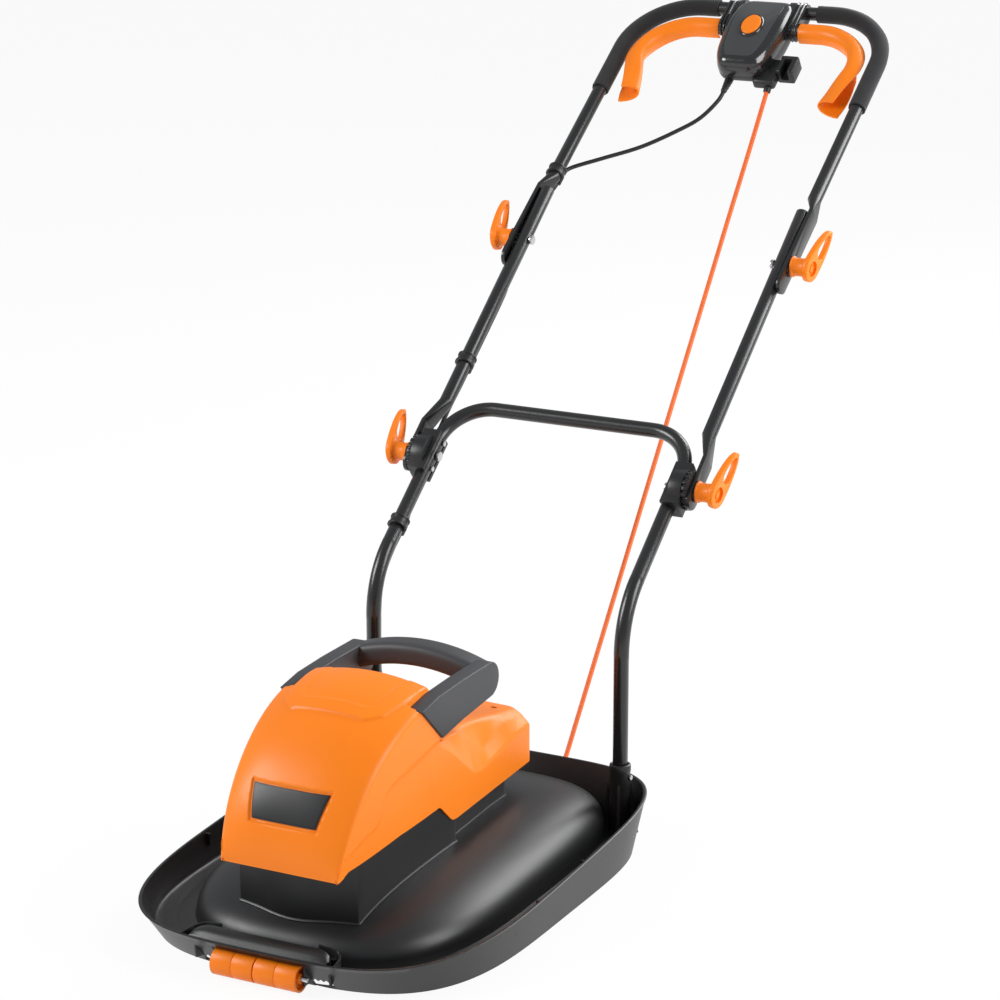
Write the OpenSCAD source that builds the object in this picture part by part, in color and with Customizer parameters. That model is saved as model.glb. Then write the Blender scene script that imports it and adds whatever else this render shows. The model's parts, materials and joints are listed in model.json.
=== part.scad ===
// Hover mower with a folding tube handle, a motor under a shell cover and two front rollers.
// Front is -Y, the handle is at +Y, +Z is up and the ground is z = 0. Sizes are in millimetres.

/* [Deck] */
// Width across the rim
deck_w = 466; // [430:1:500]
// Length of the rim, front to rear
deck_l = 642; // [620:1:680]
// Height of the rim at the front
rim_front_h = 43; // [41:1:54]
// Height of the rim at the rear
rim_rear_h = 75; // [64:1:90]
// Wall of the hood
deck_wall = 3; // [2:0.5:4]
// Lean of the skirt at the sides, from the ground to the rim
skirt_lean = 10; // [4:1:16]
// Lean of the skirt at the front
skirt_front_lean = 35; // [26:1:40]
// Lean of the skirt at the rear
skirt_rear_lean = 23; // [12:1:30]
// Height of the tray floor inside the rim
tray_h = 12; // [8:1:16]
// Width of the tray at the sides, from the rim to the dome
tray_side = 47; // [38:1:56]
// Width of the tray at the front
tray_front = 58; // [54:1:64]
// Width of the tray at the rear
tray_rear = 12; // [8:1:18]
// Height of the dome at the motor
dome_h = 80; // [74:1:88]
// Rise of the dome from front to rear
dome_rise = 26; // [16:1:34]

/* [Motor housing and cover] */
// Half width of the black housing
housing_hw = 87; // [84:1:89]
// Length of the housing in front of the motor axis
housing_front = 241; // [230:1:250]
// Length of the housing behind the motor axis
housing_rear = 152; // [130:1:170]
// Wall of the housing and of the cover
shell_wall = 4; // [3:0.5:5]
// Height of the cover's front lower edge
cover_low = 118; // [112:1:124]
// Height of the cover's top
cover_top = 293; // [285:1:305]
// Half width of the cover at its front lower edge
cover_front_hw = 77; // [72:1:82]
// Half width of the cover at its top
cover_hw = 93; // [92:1:98]
// From the motor axis forwards to the cover's highest line
cover_crest = 57; // [50:1:64]
// From the crest forwards to the cover's front edge
cover_nose = 206; // [200:1:216]
// Height of the saddle behind the crest
saddle_front_h = 220; // [212:1:224]
// Height of the saddle at the rear end
saddle_rear_h = 178; // [170:1:190]
// From the motor axis back to the cover's rear end
cover_rear = 208; // [196:1:214]

/* [Handle] */
// Diameter of the handle tubes
tube_d = 19; // [18:0.5:20]
// Wall of the tubes
tube_wall = 1.2; // [1:0.1:2]
// Height of the lower joint
joint_h = 419; // [400:1:440]
// From the motor axis back to the lower joint
joint_back = 423; // [410:1:440]
// Rake of the middle tubes from the vertical
rake = 51.75; // [45:0.25:55]
// Length of the middle section between its two joints
middle_l = 378; // [350:1:420]
// Further rake of the upper handle
upper_rake = 3.25; // [0:0.25:6]
// Length of the upper handle, from its joint to the top bar
upper_l = 485; // [470:1:520]
// Half width of the upper handle at its tube centres
upper_hw = 195; // [192:1:197]
// Corner radius of the upper handle
upper_corner_r = 95; // [90:1:104]
// Half width of the middle tubes at their centres
middle_hw = 190.4; // [189:0.1:191]
// Half width of the lower handle at its tube centres
lower_hw = 176; // [174:0.5:178]
// From the lower joint forwards to the upright legs
leg_fwd = 156; // [150:1:162]
// Length of the lower handle above the joint, up to its crossbar
crossbar_l = 86; // [80:1:100]
// Outside diameter of the foam grips
foam_d = 25; // [24:0.5:27]
// From the upper joint up to the foam's lower end
foam_from = 302; // [290:1:320]
// Half gap between the two foam grips on the top bar
foam_gap = 76; // [72:1:84]

/* [Knobs] */
// Diameter of a knob's stem
knob_d = 28; // [25:0.5:30]
// Length of a knob from its seat to its outer face
knob_l = 29; // [26:0.5:32]
// From a knob's axis to the tip of its wing
knob_reach = 62; // [54:1:66]
// Diameter of the joint bolts
bolt_d = 6; // [5:0.5:6]

/* [Switch box] */
// Half width of the box
box_hw = 60; // [56:1:62]
// Height of the box's face above the handle's plane
box_face = 26; // [24:1:30]
// Depth of the box below the handle's plane
box_deep = 26; // [24:1:30]
// From the top bar down to the box's lower end
box_l = 138; // [130:1:144]
// Wall of the box
box_wall = 2.5; // [2:0.25:3]
// Diameter of the lock-off button
button_d = 30; // [26:1:32]
// Travel of the lock-off button
button_travel = 4; // [3:0.5:5]
// From the top bar down to the lever shaft
shaft_drop = 38; // [36:1:42]
// Width of a switch lever
lever_w = 26; // [22:1:28]

/* [Rollers] */
// Diameter of a roller
roller_d = 32; // [28:1:33]
// Length of a roller
roller_l = 55; // [50:1:58]
// Diameter of the axle
axle_d = 6; // [5:0.5:8]

/* [Motor and blade] */
// Diameter of the motor
motor_d = 88; // [80:1:96]
// Height of the motor
motor_h = 92; // [80:1:96]
// Diameter of the shaft
shaft_d = 12; // [10:0.5:14]
// Diameter of the hover fan
fan_d = 200; // [170:1:220]
// Clearance from the blade's tips to the sides of the dome
blade_clear = 21; // [16:1:40]
// Width of the blade
blade_w = 46; // [36:1:54]

/* [Cords] */
// Diameter of the mains cord
cord_d = 6.5; // [6:0.1:6.6]
// Diameter of the motor lead
lead_d = 6; // [5:0.1:6.4]

/* [Hidden] */
$fn = 48;
// Gap between pieces that touch or seat
gap = 0.3;
// Radial clearance of a pin or shaft that turns in its bore
run = 0.06;
// How far a cut runs past what it cuts
over = 2;
// Lap in degrees of the lower bend over the straight tube, and its swelling there
bend_lap = 1.5;
bend_swell = 0.3;

// Deck, measured from the motor axis
oval_n = 44;
rim_front_power = 3.5;
rim_rear_power = 5.2;
dome_front_power = 3;
dome_rear_power = 4.2;
dome_power = 3;
rim_rise_power = 1.3;
rim_hw = deck_w / 2;
rim_y = deck_l / 2;
blade_l = 2 * (rim_hw - tray_side - blade_clear);
dome_rhos = [1, 0.98, 0.94, 0.88, 0.79, 0.66, 0.48];
motor_hole_r = 38;

// Rollers and their pocket in the skirt
roller_out = 5;
roller_fwd = rim_y - roller_d / 2 + roller_out;
roller_gap = 1.6;
roller_lift = 1.5;
roller_z = roller_lift + roller_d / 2;
roller_end = roller_gap / 2 + roller_l;
pocket_clear = 2.5;
bracket_t = 3;
pocket_hw = roller_end + roller_gap;
pocket_top = roller_z + roller_d / 2 + roller_gap;
pocket_back = roller_fwd - roller_d / 2 - pocket_clear;
shelf_hw = 88;
shelf_deep = 14;
shelf_round = 5;
shelf_lap_share = 0.25;
bracket_lean_share = 0.3;
axle_tail = 12;
roller_groove = 1.2;
roller_hub_deep = 5;

// Frame: the part's origin is below the middle of its length
bar_wrap_r = 17;
upper_joint_y = middle_l * sin(rake);
upper_joint_z = joint_h + middle_l * cos(rake);
rear_reach = upper_joint_y + upper_l * sin(rake + upper_rake) + bar_wrap_r;
front_reach = joint_back + roller_fwd + roller_d / 2;
joint_y = (front_reach - rear_reach) / 2;
deck_y = joint_y - joint_back;

// Handle stack across a joint, from the tube outwards
flat_t = 5;
flat_w = 27;
flat_in = middle_hw + tube_d / 2 + gap;
flat_out = flat_in + flat_t;
washer_t = 1.5;
washer_r = 11;
knob_seat = flat_out + washer_t + 2 * gap;
flat_end = 13;
middle_flat_l = 48;
middle_round_l = 88;
middle_over = 92;
upper_end = 33;
upper_flat_l = 96;
upper_round_l = 122;
lower_bend_r = 110;
crossbar_r = 62;
leg_foot_h = 52;
socket_h = 101;
socket_wall = 4;
bolt_head_t = 4.4;
bolt_head_r = 6.5;
screw_r = 2;
screw_head_r = 3.6;
screw_head_t = 2.2;
disc_t = 6.4;
disc_r = 25;
disc_notch_r = 2;
disc_notches = 18;
disc_in = flat_in - gap - disc_t;
block_r = 26;
block_half_l = 32;
block_half_w = 15;
block_lap = 7;
block_in = lower_hw - block_lap;
block_screw_s = 21;

// Knob shape, as shares of its own sizes
knob_waist_share = 0.88;
knob_flange_share = 1.36;
knob_eye_share = 0.42;
eye_tip_share = 1.3;
eye_root_share = 1.9;
wing_t_share = 0.3;
wing_tip_share = 0.17;
knob_bore_share = 0.75;
wing_lean = 8;

// Foam, clips and lead
clip_t = 2.6;
clip_l = 14;
clip_band = 1.2;
clip_eye_gap = 1.6;
lead_out = tube_d / 2 + lead_d / 2 + clip_eye_gap;
clip_top_s = 132;
clip_mid_s = 160;
clip_low_drop = 112;

// Switch box, in the handle's own plane
box_corner_r = 14;
box_tip_hw_share = 0.62;
box_shoulder_share = 0.3;
panel_t = 1.2;
panel_hw_share = 0.6;
panel_tip_share = 0.42;
panel_from_share = 0.757;
panel_to_share = 0.24;
button_drop = 60;
button_proud = 5;
button_flange = 2;
button_stem_share = 0.6;
lever_root_l = 20;
lever_bend_r = 52;
lever_reach = 110;
lever_end_drop = 154;
lever_end_in = 16;
lever_skin = 3;
lever_gap = 1;
lever_deep = 22;
lever_turn_steps = 12;
lever_turn = 96;
shaft_r = 5;
shaft_below = 6;
switch_size = [28, 15, 20];
hook_x = 66;
hook_drop = 106;
hook_size = [26, 26, 34];
hook_slot = [10, 30, 14];
nose_size = [34, 20, 24];
nose_x = 38;

// Motor, housing and blade
motor_flange_r = 58;
motor_flange_t = 4;
bearing_r = 15;
bearing_h = 9;
core_share = 0.62;
commutator_share = 0.32;
fan_h = 26;
fan_top = 60;
fan_hub_r = 24;
fan_plate_t = 3;
fan_blades = 9;
fan_blade_t = 3;
spacer_h = 8;
blade_z = 16;
blade_t = 3;
blade_bolt_r = 11;
blade_bolt_h = 7;
capacitor_r = 11;
capacitor_h = 36;
motor_seat = dome_h + dome_rise * motor_flange_r / deck_l + gap;
motor_top = motor_seat + motor_flange_t + motor_h;

// Cover and carry handle, measured from the motor axis
cover_lip = 6;
cover_crown = 16;
cover_setback = 30;
cover_side_flare = cover_hw - cover_front_hw;
saddle_low = 107;
saddle_rear_hw = 84;
saddle_r = 12;
cover_steps = 14;
cover_ribs = 12;
arm_in = 74;
arm_out = 97;
arm_round = 6;
arm_front = 98;
arm_front_top = 271;
arm_foot = 48;
arm_foot_h = 224.5;
arm_mid = 5;
arm_mid_h = 232;
arm_back = 72;
arm_back_h = 237.5;
arm_end = [[0, 0], [12, 3.5], [18.5, 11.5], [21, 20.5], [18.5, 30.5], [12.5, 39.5], [4, 44]];
grip_y = 70;
grip_rise = 12;
grip_tall = 28;
grip_deep = 40;
grip_round = 10;
grip_h = arm_back_h + arm_end[len(arm_end) - 1].y - grip_tall / 2;

// Lower edge of the cover's sides and the notch in it, from the motor axis and from the front lower edge
notch_line = [[-247, -1], [-240, 7], [-140, 15], [-46, 17.5], [-16, -7], [-8, -12]];
lip_inset = 5;
lip_h = 16;
lip_back = 10;
housing_low = pocket_top + bracket_t + 2 * gap;

badge_top_hw = 50;
badge_low_hw = 42;
badge_top = 209;
badge_low = 173;
badge_t = 1.6;
badge_deep = 2;
cover_screw_x = 45;
cover_screw_y = 176;
cover_screw_deep = 10;
cover_post_r = 8;
post_low = 130;

// Mains cord: points from the gland down to the ground behind the deck, and on to the coil
cord_sides = 8;
cord_steps = 3;
cord_exit = [45, 12.3, 3.6];
cord_shares = [0, 0.104, 0.209, 0.313, 0.417, 0.521, 0.626, 0.73, 0.835, 0.939];
cord_ground = [[11.5, 73, 58], [10, 49, 23], [9.6, 40, 14], [9.4, 31, 9], [9.2, 20, 6],
  [9, 8, 5], [5, -11, 5], [-6, -27, 5], [-22, -38, 5], [-41, -42, 5],
  [-75, -42, 5], [-110, -42, 5], [-145, -42, 5], [-170, -42, 5]];
function upper_point(p) = let (a = rake + upper_rake)
  [p.x, joint_y + upper_joint_y + p.y * cos(a) + p.z * sin(a),
  upper_joint_z - p.y * sin(a) + p.z * cos(a)];
cord_start = upper_point([cord_exit.x, cord_exit.y, upper_l - box_l + cord_exit.z]);
cord_route = concat([for (k = cord_shares) mix(cord_start, cord_ground[0], k)], cord_ground);
gland_l = 26;
gland_start = 20;
gland_r = 7;
gland_wall = 1.4;
gland_tip_r = cord_d / 2 + gland_wall;
gland_h = 98;

// Coil behind the deck: four layers that spiral in and out
coil_r = 79;
coil_pitch = 7;
coil_turns = 6;
coil_layers = 4;
coil_rings = 24;
coil_climb_share = 0.5;
coil_centre = [-170, 37, 5];
tail_route = [[-186, -42.3, 26], [-200, -47, 25], [-214, -55, 22.5], [-228, -61, 20], [-240, -62, 19]];
tie_w = 16;
tie_t = 1.2;
plug_l = 44;
plug_w = 34;
plug_h = 30;
plug_pin_d = 4.8;
plug_pin_l = 19;
plug_pin_gap = 19;
plug_round = 6;

// Motor lead, each stretch in the frame of the section that holds it
lead_up = [[-209, 18.5, 2], [-209, 18.2, 45], [-208.5, 18, 78], [-204.5, 17.6, 97], [-199, 16.2, 108],
  [-195.2, 14.25, 118], [-195, 14.1, 125], [-195, 14.1, 132], [-195, 14.1, 139], [-193.4, 14.6, 146]];
lead_slack = [[-186, 17, -191], [-151, 22, -163], [-106, 28, -127], [-62, 28, -86], [-38, 24, -63],
  [-21, 17, -35], [-17, 13.3, -18], [-17, 13, -9], [-17, 13, 3]];
slack_share = (upper_l - box_l - lead_up[len(lead_up) - 1].z) / 206;
lead_top_route = concat(lead_up,
  [for (p = lead_slack) [p.x, p.y, upper_l - box_l + p.z * (p.z < 0 ? slack_share : 1)]]);
lead_mid_route = [[-198, 32, 2], [-197, 27, 40], [-193, 17, 86], [-190.4, 14.1, 130], [-190.4, 14.1, 160],
  [-190.4, 14.1, 290], [-199, 16.5, 312], [-208, 18.5, 330], [-209, 18.5, 352], [-209, 18.5, 376]];
lead_low_route = [[-198, 32, -2], [-194, 27, -34], [-183, 18, -68], [-176, 14.1, -94],
  [-176, 14.1, -112], [-176, 14.1, -128]];
lead_leg_route = [[-176, -123, 235], [-176, -123, 165], [-167, -126, 136], [-152, -150, 114],
  [-134, -195, 104],
  [-127, -240, 99], [-120, -266, 98], [-109, -276, 98], [-99, -276, 98], [-90, -276, 98]];

orange = "#f97f1e";
black = "#232425";
charcoal = "#3a3c3f";
steel = "#b9bcc0";
copper = "#b4703a";

// Vector helpers
function unit(v) = v / norm(v);
function mix(a, b, k) = a + (b - a) * k;
function any_side(t) = unit(cross(t, abs(t.z) < 0.9 ? [0, 0, 1] : [1, 0, 0]));
function mirror_x(points) = [for (p = points) [-p.x, p.y, p.z]];
function reversed(list) = [for (i = [len(list) - 1 : -1 : 0]) list[i]];
function path_length(p) = len(p) < 2 ? 0 : [for (i = 1, s = 0; i <= len(p); s = s + (i < len(p) ?
  norm(p[i] - p[i - 1]) : 0), i = i + 1) s][len(p) - 1];

// Smooth curve through points, with some steps to each stretch
function spline_at(a, b, c, d, t) = 0.5 * (2 * b + (c - a) * t + (2 * a - 5 * b + 4 * c - d) * t * t
  + (3 * b - a - 3 * c + d) * t * t * t);
function spline(p, steps) = [for (i = [0 : len(p) - 2], k = [0 : steps - 1])
  spline_at(p[max(i - 1, 0)], p[i], p[i + 1], p[min(i + 2, len(p) - 1)], k / steps), p[len(p) - 1]];

// Directions along a path, and side vectors that turn as little as they can
function tangents(p) = [for (i = [0 : len(p) - 1]) unit(p[min(i + 1, len(p) - 1)] - p[max(i - 1, 0)])];
function sides(t) = [for (i = 0, s = any_side(t[0]); i < len(t);
  i = i + 1, s = i < len(t) ? unit(s - t[i] * (s * t[i])) : s) s];

// Skin over rings of equal counts: rings joined end to end when closed, or capped at both ends
module loft(rings, closed = false) {
  n = len(rings[0]);
  m = len(rings);
  walls = [for (k = [0 : m - (closed ? 1 : 2)], i = [0 : n - 1]) let (k2 = (k + 1) % m, i2 = (i + 1) % n)
    each [[k * n + i, k2 * n + i, k2 * n + i2], [k * n + i, k2 * n + i2, k * n + i2]]];
  caps = closed ? [] : [for (i = [0 : n / 2 - 2])
    let (a = i, b = i + 1, c = n - 2 - i, d = n - 1 - i, e = (m - 1) * n)
    each [[a, b, c], [a, c, d], [e + c, e + b, e + a], [e + d, e + c, e + a]]];
  polyhedron([for (r = rings) each r], concat(walls, caps));
}

// Round tube swept along points
module sweep(points, d, count) {
  t = tangents(points);
  s = sides(t);
  loft([for (i = [0 : len(points) - 1]) let (b = cross(t[i], s[i]))
    [for (k = [0 : count - 1]) points[i] + d / 2 * (s[i] * cos(360 * k / count) + b * sin(360 * k / count))]]);
}

// Children turned so that their z runs from one point to another
module along(a, b) {
  v = b - a;
  translate(a) rotate([0, acos(v.z / norm(v)), atan2(v.y, v.x)]) children();
}

// Bent rod through points, with a bend radius at each inner one
module bent_rod(points, radii, d) {
  last = len(points) - 1;
  dirs = [for (i = [0 : last - 1]) unit(points[i + 1] - points[i])];
  turns = [for (i = [0 : last]) i == 0 || i == last ? 0 : acos(dirs[i - 1] * dirs[i])];
  trims = [for (i = [0 : last]) i == 0 || i == last ? 0 : radii[i - 1] * tan(turns[i] / 2)];
  for (i = [0 : last - 1])
    along(points[i] + dirs[i] * trims[i], points[i + 1])
      cylinder(d = d, h = norm(points[i + 1] - points[i]) - trims[i] - trims[i + 1]);
  for (i = [1 : last - 1]) {
    u = dirs[i - 1];
    m = unit(dirs[i] - u * cos(turns[i]));
    k = cross(u, m);
    c = points[i] - u * trims[i] + m * radii[i - 1];
    multmatrix([[-m.x, u.x, k.x, c.x], [-m.y, u.y, k.y, c.y], [-m.z, u.z, k.z, c.z], [0, 0, 0, 1]])
      rotate_extrude(angle = turns[i]) translate([radii[i - 1], 0]) circle(d = d);
  }
}

function longer(points) = let (last = len(points) - 1) [for (i = [0 : last])
  i == 0 ? points[0] - over * unit(points[1] - points[0]) :
  i == last ? points[last] + over * unit(points[last] - points[last - 1]) : points[i]];

module bent_tube(points, radii, d, bore) {
  difference() {
    bent_rod(points, radii, d);
    bent_rod(longer(points), radii, bore);
  }
}

// Rod along x between two places
module x_rod(from, to, r) {
  translate([from, 0, 0]) rotate([0, 90, 0]) cylinder(r = r, h = to - from);
}

// Frames: the deck at the motor axis, the lower joint, the middle section and the upper handle
module on_deck() translate([0, deck_y, 0]) children();
module on_joint() translate([0, joint_y, joint_h]) children();
module on_middle() on_joint() rotate([-rake, 0, 0]) children();
module on_upper() on_middle() translate([0, 0, middle_l]) rotate([-upper_rake, 0, 0]) children();
module both_sides() {
  children();
  mirror([1, 0, 0]) children();
}

// Deck
function oval(hw, front, rear, front_power, rear_power) = [for (i = [0 : oval_n - 1])
  let (t = 360 * i / oval_n, c = cos(t), s = sin(t), n = s < 0 ? front_power : rear_power)
  [hw * sign(c) * pow(abs(c), 2 / n), (s < 0 ? front : rear) * sign(s) * pow(abs(s), 2 / n)]];
function rim_z(y) = rim_front_h + (rim_rear_h - rim_front_h) * pow(max(0, (y + rim_y) / deck_l),
  rim_rise_power);
function dome_z(rho, y) = tray_h + (dome_h + dome_rise * y / deck_l - tray_h)
  * pow(1 - pow(rho, dome_power), 1 / dome_power);
function flat_ring(points, z) = [for (p = points) [p.x, p.y, z]];
function rim_ring(inset) = oval(rim_hw - inset, rim_y - inset, rim_y - inset, rim_front_power,
  rim_rear_power);
function foot_ring(inset) = oval(rim_hw - skirt_lean - inset, rim_y - skirt_front_lean - inset,
  rim_y - skirt_rear_lean - inset, rim_front_power, rim_rear_power);
function skirt_ring(z) = let (a = foot_ring(deck_wall), b = rim_ring(deck_wall)) [for (i = [0 : oval_n - 1])
  let (p = mix(a[i], b[i], z / rim_z(b[i].y))) [p.x, p.y, z]];
function dome_ring(rho, inset, drop) = [for (p = oval(rho * (rim_hw - tray_side - inset),
  rho * (rim_y - tray_front - inset), rho * (rim_y - tray_rear - inset), dome_front_power, dome_rear_power))
  [p.x, p.y, dome_z(rho, p.y) - drop]];
function hole_ring(drop) = [for (i = [0 : oval_n - 1]) let (t = 360 * i / oval_n, y = motor_hole_r * sin(t))
  [motor_hole_r * cos(t), y, dome_z(0, y) - drop]];

module hood_shell() {
  loft(concat([flat_ring(foot_ring(0), 0), [for (p = rim_ring(0)) [p.x, p.y, rim_z(p.y)]],
    [for (p = rim_ring(deck_wall)) [p.x, p.y, rim_z(p.y)]], skirt_ring(tray_h)],
    [for (r = dome_rhos) dome_ring(r, 0, 0)], [hole_ring(0), hole_ring(deck_wall)],
    [for (r = reversed(dome_rhos)) dome_ring(r, deck_wall, deck_wall)],
    [skirt_ring(tray_h - deck_wall), flat_ring(foot_ring(deck_wall), 0)]), closed = true);
}

// The dome's outer form as one body, for what is cut to sit on it
module dome_body(lift) {
  top_rho = 0.03;
  translate([0, 0, lift]) loft(concat([flat_ring(dome_ring(1, 0, 0), -over * 2)],
    [for (r = dome_rhos) dome_ring(r, 0, 0)], [dome_ring(top_rho, 0, 0)]));
}

leg_y = joint_back - leg_fwd;
socket_r = tube_d / 2 + socket_wall;

module socket_bores() {
  both_sides() translate([lower_hw, leg_y, leg_foot_h - gap])
    cylinder(r = tube_d / 2 + gap / 2, h = socket_h);
}

module deck_hood() color(black) on_deck() difference() {
  rib_t = 4;
  union() {
    hood_shell();
    both_sides() translate([lower_hw, leg_y, tray_h - deck_wall / 2]) {
      cylinder(r = socket_r, h = socket_h - tray_h + deck_wall / 2);
      for (a = [20, 110, 250])
        rotate([0, 0, a]) translate([0, -rib_t / 2, 0])
          cube([socket_r + rib_t * 2, rib_t, leg_foot_h - tray_h]);
    }
  }
  socket_bores();
  both_sides() translate([0, leg_y, socket_h - socket_wall * 4])
    x_rod(lower_hw, lower_hw + socket_r + over, screw_r + run);
  translate([-pocket_hw - bracket_t - gap, -rim_y - over, -over])
    cube([2 * (pocket_hw + bracket_t + gap), rim_y + over - pocket_back + bracket_t + gap,
      pocket_top + bracket_t + gap + over]);
}

// Rollers: a pocket in the skirt carries the axle
module roller_bracket() color(black) on_deck() difference() {
  front = rim_y - skirt_front_lean * bracket_lean_share;
  union() {
    translate([-pocket_hw - bracket_t, -front, 0])
      cube([2 * (pocket_hw + bracket_t), front - pocket_back + bracket_t, pocket_top + bracket_t]);
    translate([-shelf_hw, -pocket_back + bracket_t * (1 - shelf_lap_share), tray_h + gap])
      linear_extrude(pocket_top + bracket_t - tray_h - gap)
        offset(r = shelf_round) offset(delta = -shelf_round) square([2 * shelf_hw, shelf_deep]);
  }
  translate([-pocket_hw, -front - over, -over])
    cube([2 * pocket_hw, front - pocket_back + over, pocket_top + over]);
  translate([0, -roller_fwd, roller_z]) x_rod(-shelf_hw, shelf_hw, axle_d / 2 + run);
}

module roller_axle() color(steel) on_deck() translate([0, -roller_fwd, roller_z])
  x_rod(-pocket_hw - bracket_t - axle_tail / 4, pocket_hw + bracket_t + axle_tail / 4, axle_d / 2);

module roller(side) color(orange) on_deck()
  translate([side * (roller_gap + roller_l) / 2, -roller_fwd, roller_z])
  rotate([0, 90, 0]) difference() {
    cylinder(d = roller_d, h = roller_l, center = true);
    cylinder(r = axle_d / 2 + run, h = roller_l + over, center = true);
    difference() {
      cylinder(d = roller_d + over, h = roller_groove, center = true);
      cylinder(r = roller_d / 2 - roller_groove / 2, h = roller_l, center = true);
    }
    for (e = [-1, 1]) translate([0, 0, e * (roller_l / 2 - roller_hub_deep / 2 + over / 2)]) difference() {
      cylinder(r = roller_d / 2 - axle_d / 2, h = roller_hub_deep + over, center = true);
      cylinder(r = axle_d, h = roller_hub_deep + 2 * over, center = true);
    }
  }
module roller_left() roller(1);
module roller_right() roller(-1);

// Motor housing on the dome
module housing_plan(inset) {
  nose_share = 0.9;
  shoulder_share = 0.917;
  front = housing_front - inset;
  hw = housing_hw - inset;
  polygon([[0, -front], [hw * nose_share, -front * shoulder_share],
    [hw, -front * shoulder_share * nose_share],
    [hw, housing_rear - inset], [-hw, housing_rear - inset], [-hw, -front * shoulder_share * nose_share],
    [-hw * nose_share, -front * shoulder_share]]);
}

module motor_housing() color(black) on_deck() difference() {
  union() {
    difference() {
      translate([0, 0, housing_low]) linear_extrude(cover_low - gap - housing_low) housing_plan(0);
      translate([-housing_hw - over, -cover_crest - saddle_r - gap, saddle_low - gap])
        cube([2 * (housing_hw + over), cover_crest + saddle_r + gap + housing_rear + over, cover_low]);
    }
    intersection() {
      translate([0, 0, housing_low]) linear_extrude(cover_low + lip_h - housing_low) housing_plan(lip_inset);
      translate([-housing_hw, -housing_front, 0])
        cube([2 * housing_hw, housing_front + lip_back, cover_low + lip_h]);
    }
  }
  linear_extrude(saddle_low - gap - shell_wall) housing_plan(shell_wall);
  linear_extrude(cover_low + lip_h + over) housing_plan(lip_inset + shell_wall);
  dome_body(gap);
  translate([0, housing_rear - shell_wall * 6, gland_h])
    x_rod(-housing_hw - over, -housing_hw + shell_wall + over, lead_d / 2 + gap);
}

module housing_gland() color(black) on_deck() translate([0, housing_rear - shell_wall * 6, gland_h])
  difference() {
  union() {
    x_rod(-housing_hw - gap - gland_l / 2, -housing_hw - gap, lead_d / 2 + gland_wall);
    x_rod(-housing_hw - gap - gland_r / 3, -housing_hw - gap, gland_r);
  }
  x_rod(-housing_hw - gland_l - over, -housing_hw + over, lead_d / 2 + gap / 2);
}

// Cover: rings run from the nose over to the crest
function cover_ring(angle, inset, low) =
  let (nose = cover_nose - 2 * inset, top = cover_top - cover_low - cover_lip - inset,
    hw = cover_front_hw - inset + cover_side_flare * sin(angle))
  [for (side = [0, 1], k = [0 : cover_ribs]) let (f = (side == 0 ? 1 : -1) * (2 * k / cover_ribs - 1))
    [f * hw, -cover_crest - inset - (nose - cover_setback * pow(f, 4) * sin(angle)) * cos(angle),
      side == 0 ? low : cover_low + cover_lip + (top - cover_crown * f * f) * sin(angle)]];

module cover_nose_body(inset, low)
  loft(reversed([for (j = [0 : cover_steps]) cover_ring(90 * j / cover_steps, inset, low)]));

module saddle_body(inset, low) {
  r = saddle_r - inset;
  hull() for (x = [-1, 1]) {
    translate([x * (cover_hw - saddle_r), -cover_crest, 0]) {
      translate([0, 0, saddle_front_h - saddle_r]) sphere(r, $fn = 24);
      translate([0, 0, low]) cylinder(r = r, h = saddle_r, $fn = 24);
    }
    translate([x * (saddle_rear_hw - saddle_r), cover_rear - saddle_r, 0]) {
      translate([0, 0, saddle_rear_h - saddle_r]) sphere(r, $fn = 24);
      translate([0, 0, low]) cylinder(r = r, h = saddle_r, $fn = 24);
    }
  }
}

module arm_profile(grow) {
  offset(delta = grow) polygon(concat([[-arm_front, arm_front_top], [-arm_foot, arm_foot_h],
    [arm_mid, arm_mid_h]],
    [for (p = arm_end) [arm_back, arm_back_h] + p]));
}

module arm(grow) translate([arm_in - grow, 0, 0]) rotate([90, 0, 90])
  linear_extrude(arm_out - arm_in + 2 * grow) arm_profile(grow);

badge_tilt = atan2(cover_profile(badge_low) - cover_profile(badge_top), badge_top - badge_low);
function cover_profile(h) = let (top = cover_top - cover_low - cover_lip,
  k = (h - cover_low - cover_lip) / top)
  cover_nose * sqrt(1 - k * k);
badge_mid = (badge_top + badge_low) / 2;

module badge_place() translate([0, -cover_crest - cover_profile(badge_mid) + badge_deep / 2, badge_mid])
  rotate([90 - badge_tilt, 0, 0]) children();

module badge_shape(grow) {
  half = (badge_top - badge_low) / 2 / cos(badge_tilt);
  offset(delta = grow) polygon([[-badge_low_hw, -half], [badge_low_hw, -half], [badge_top_hw, half],
    [-badge_top_hw, half]]);
}

module cover_screw_posts(r, from, to) for (x = [-1, 1])
  translate([x * cover_screw_x, cover_screw_y, from]) cylinder(r = r, h = to - from);

module cover_notch() translate([-cover_hw - over, 0, cover_low]) rotate([90, 0, 90])
  linear_extrude(2 * (cover_hw + over))
    polygon(concat(notch_line, [[notch_line[len(notch_line) - 1].x, -cover_low],
      [notch_line[0].x, -cover_low]]));

module motor_cover() color(orange) on_deck() difference() {
  union() {
    difference() {
      union() {
        cover_nose_body(0, cover_low);
        saddle_body(0, saddle_low);
      }
      cover_nose_body(shell_wall, cover_low - over);
      saddle_body(shell_wall, saddle_low - over);
    }
    cover_screw_posts(cover_post_r, post_low, saddle_rear_h);
  }
  cover_screw_posts(screw_r + run, 0, cover_top);
  cover_screw_posts(screw_head_r + gap, saddle_rear_h - cover_screw_deep, cover_top);
  both_sides() arm(gap);
  badge_place() linear_extrude(cover_nose) badge_shape(gap);
  cover_notch();
}

module badge_plate() color(black) on_deck() badge_place() translate([0, 0, gap]) linear_extrude(badge_t)
  badge_shape(0);

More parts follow.
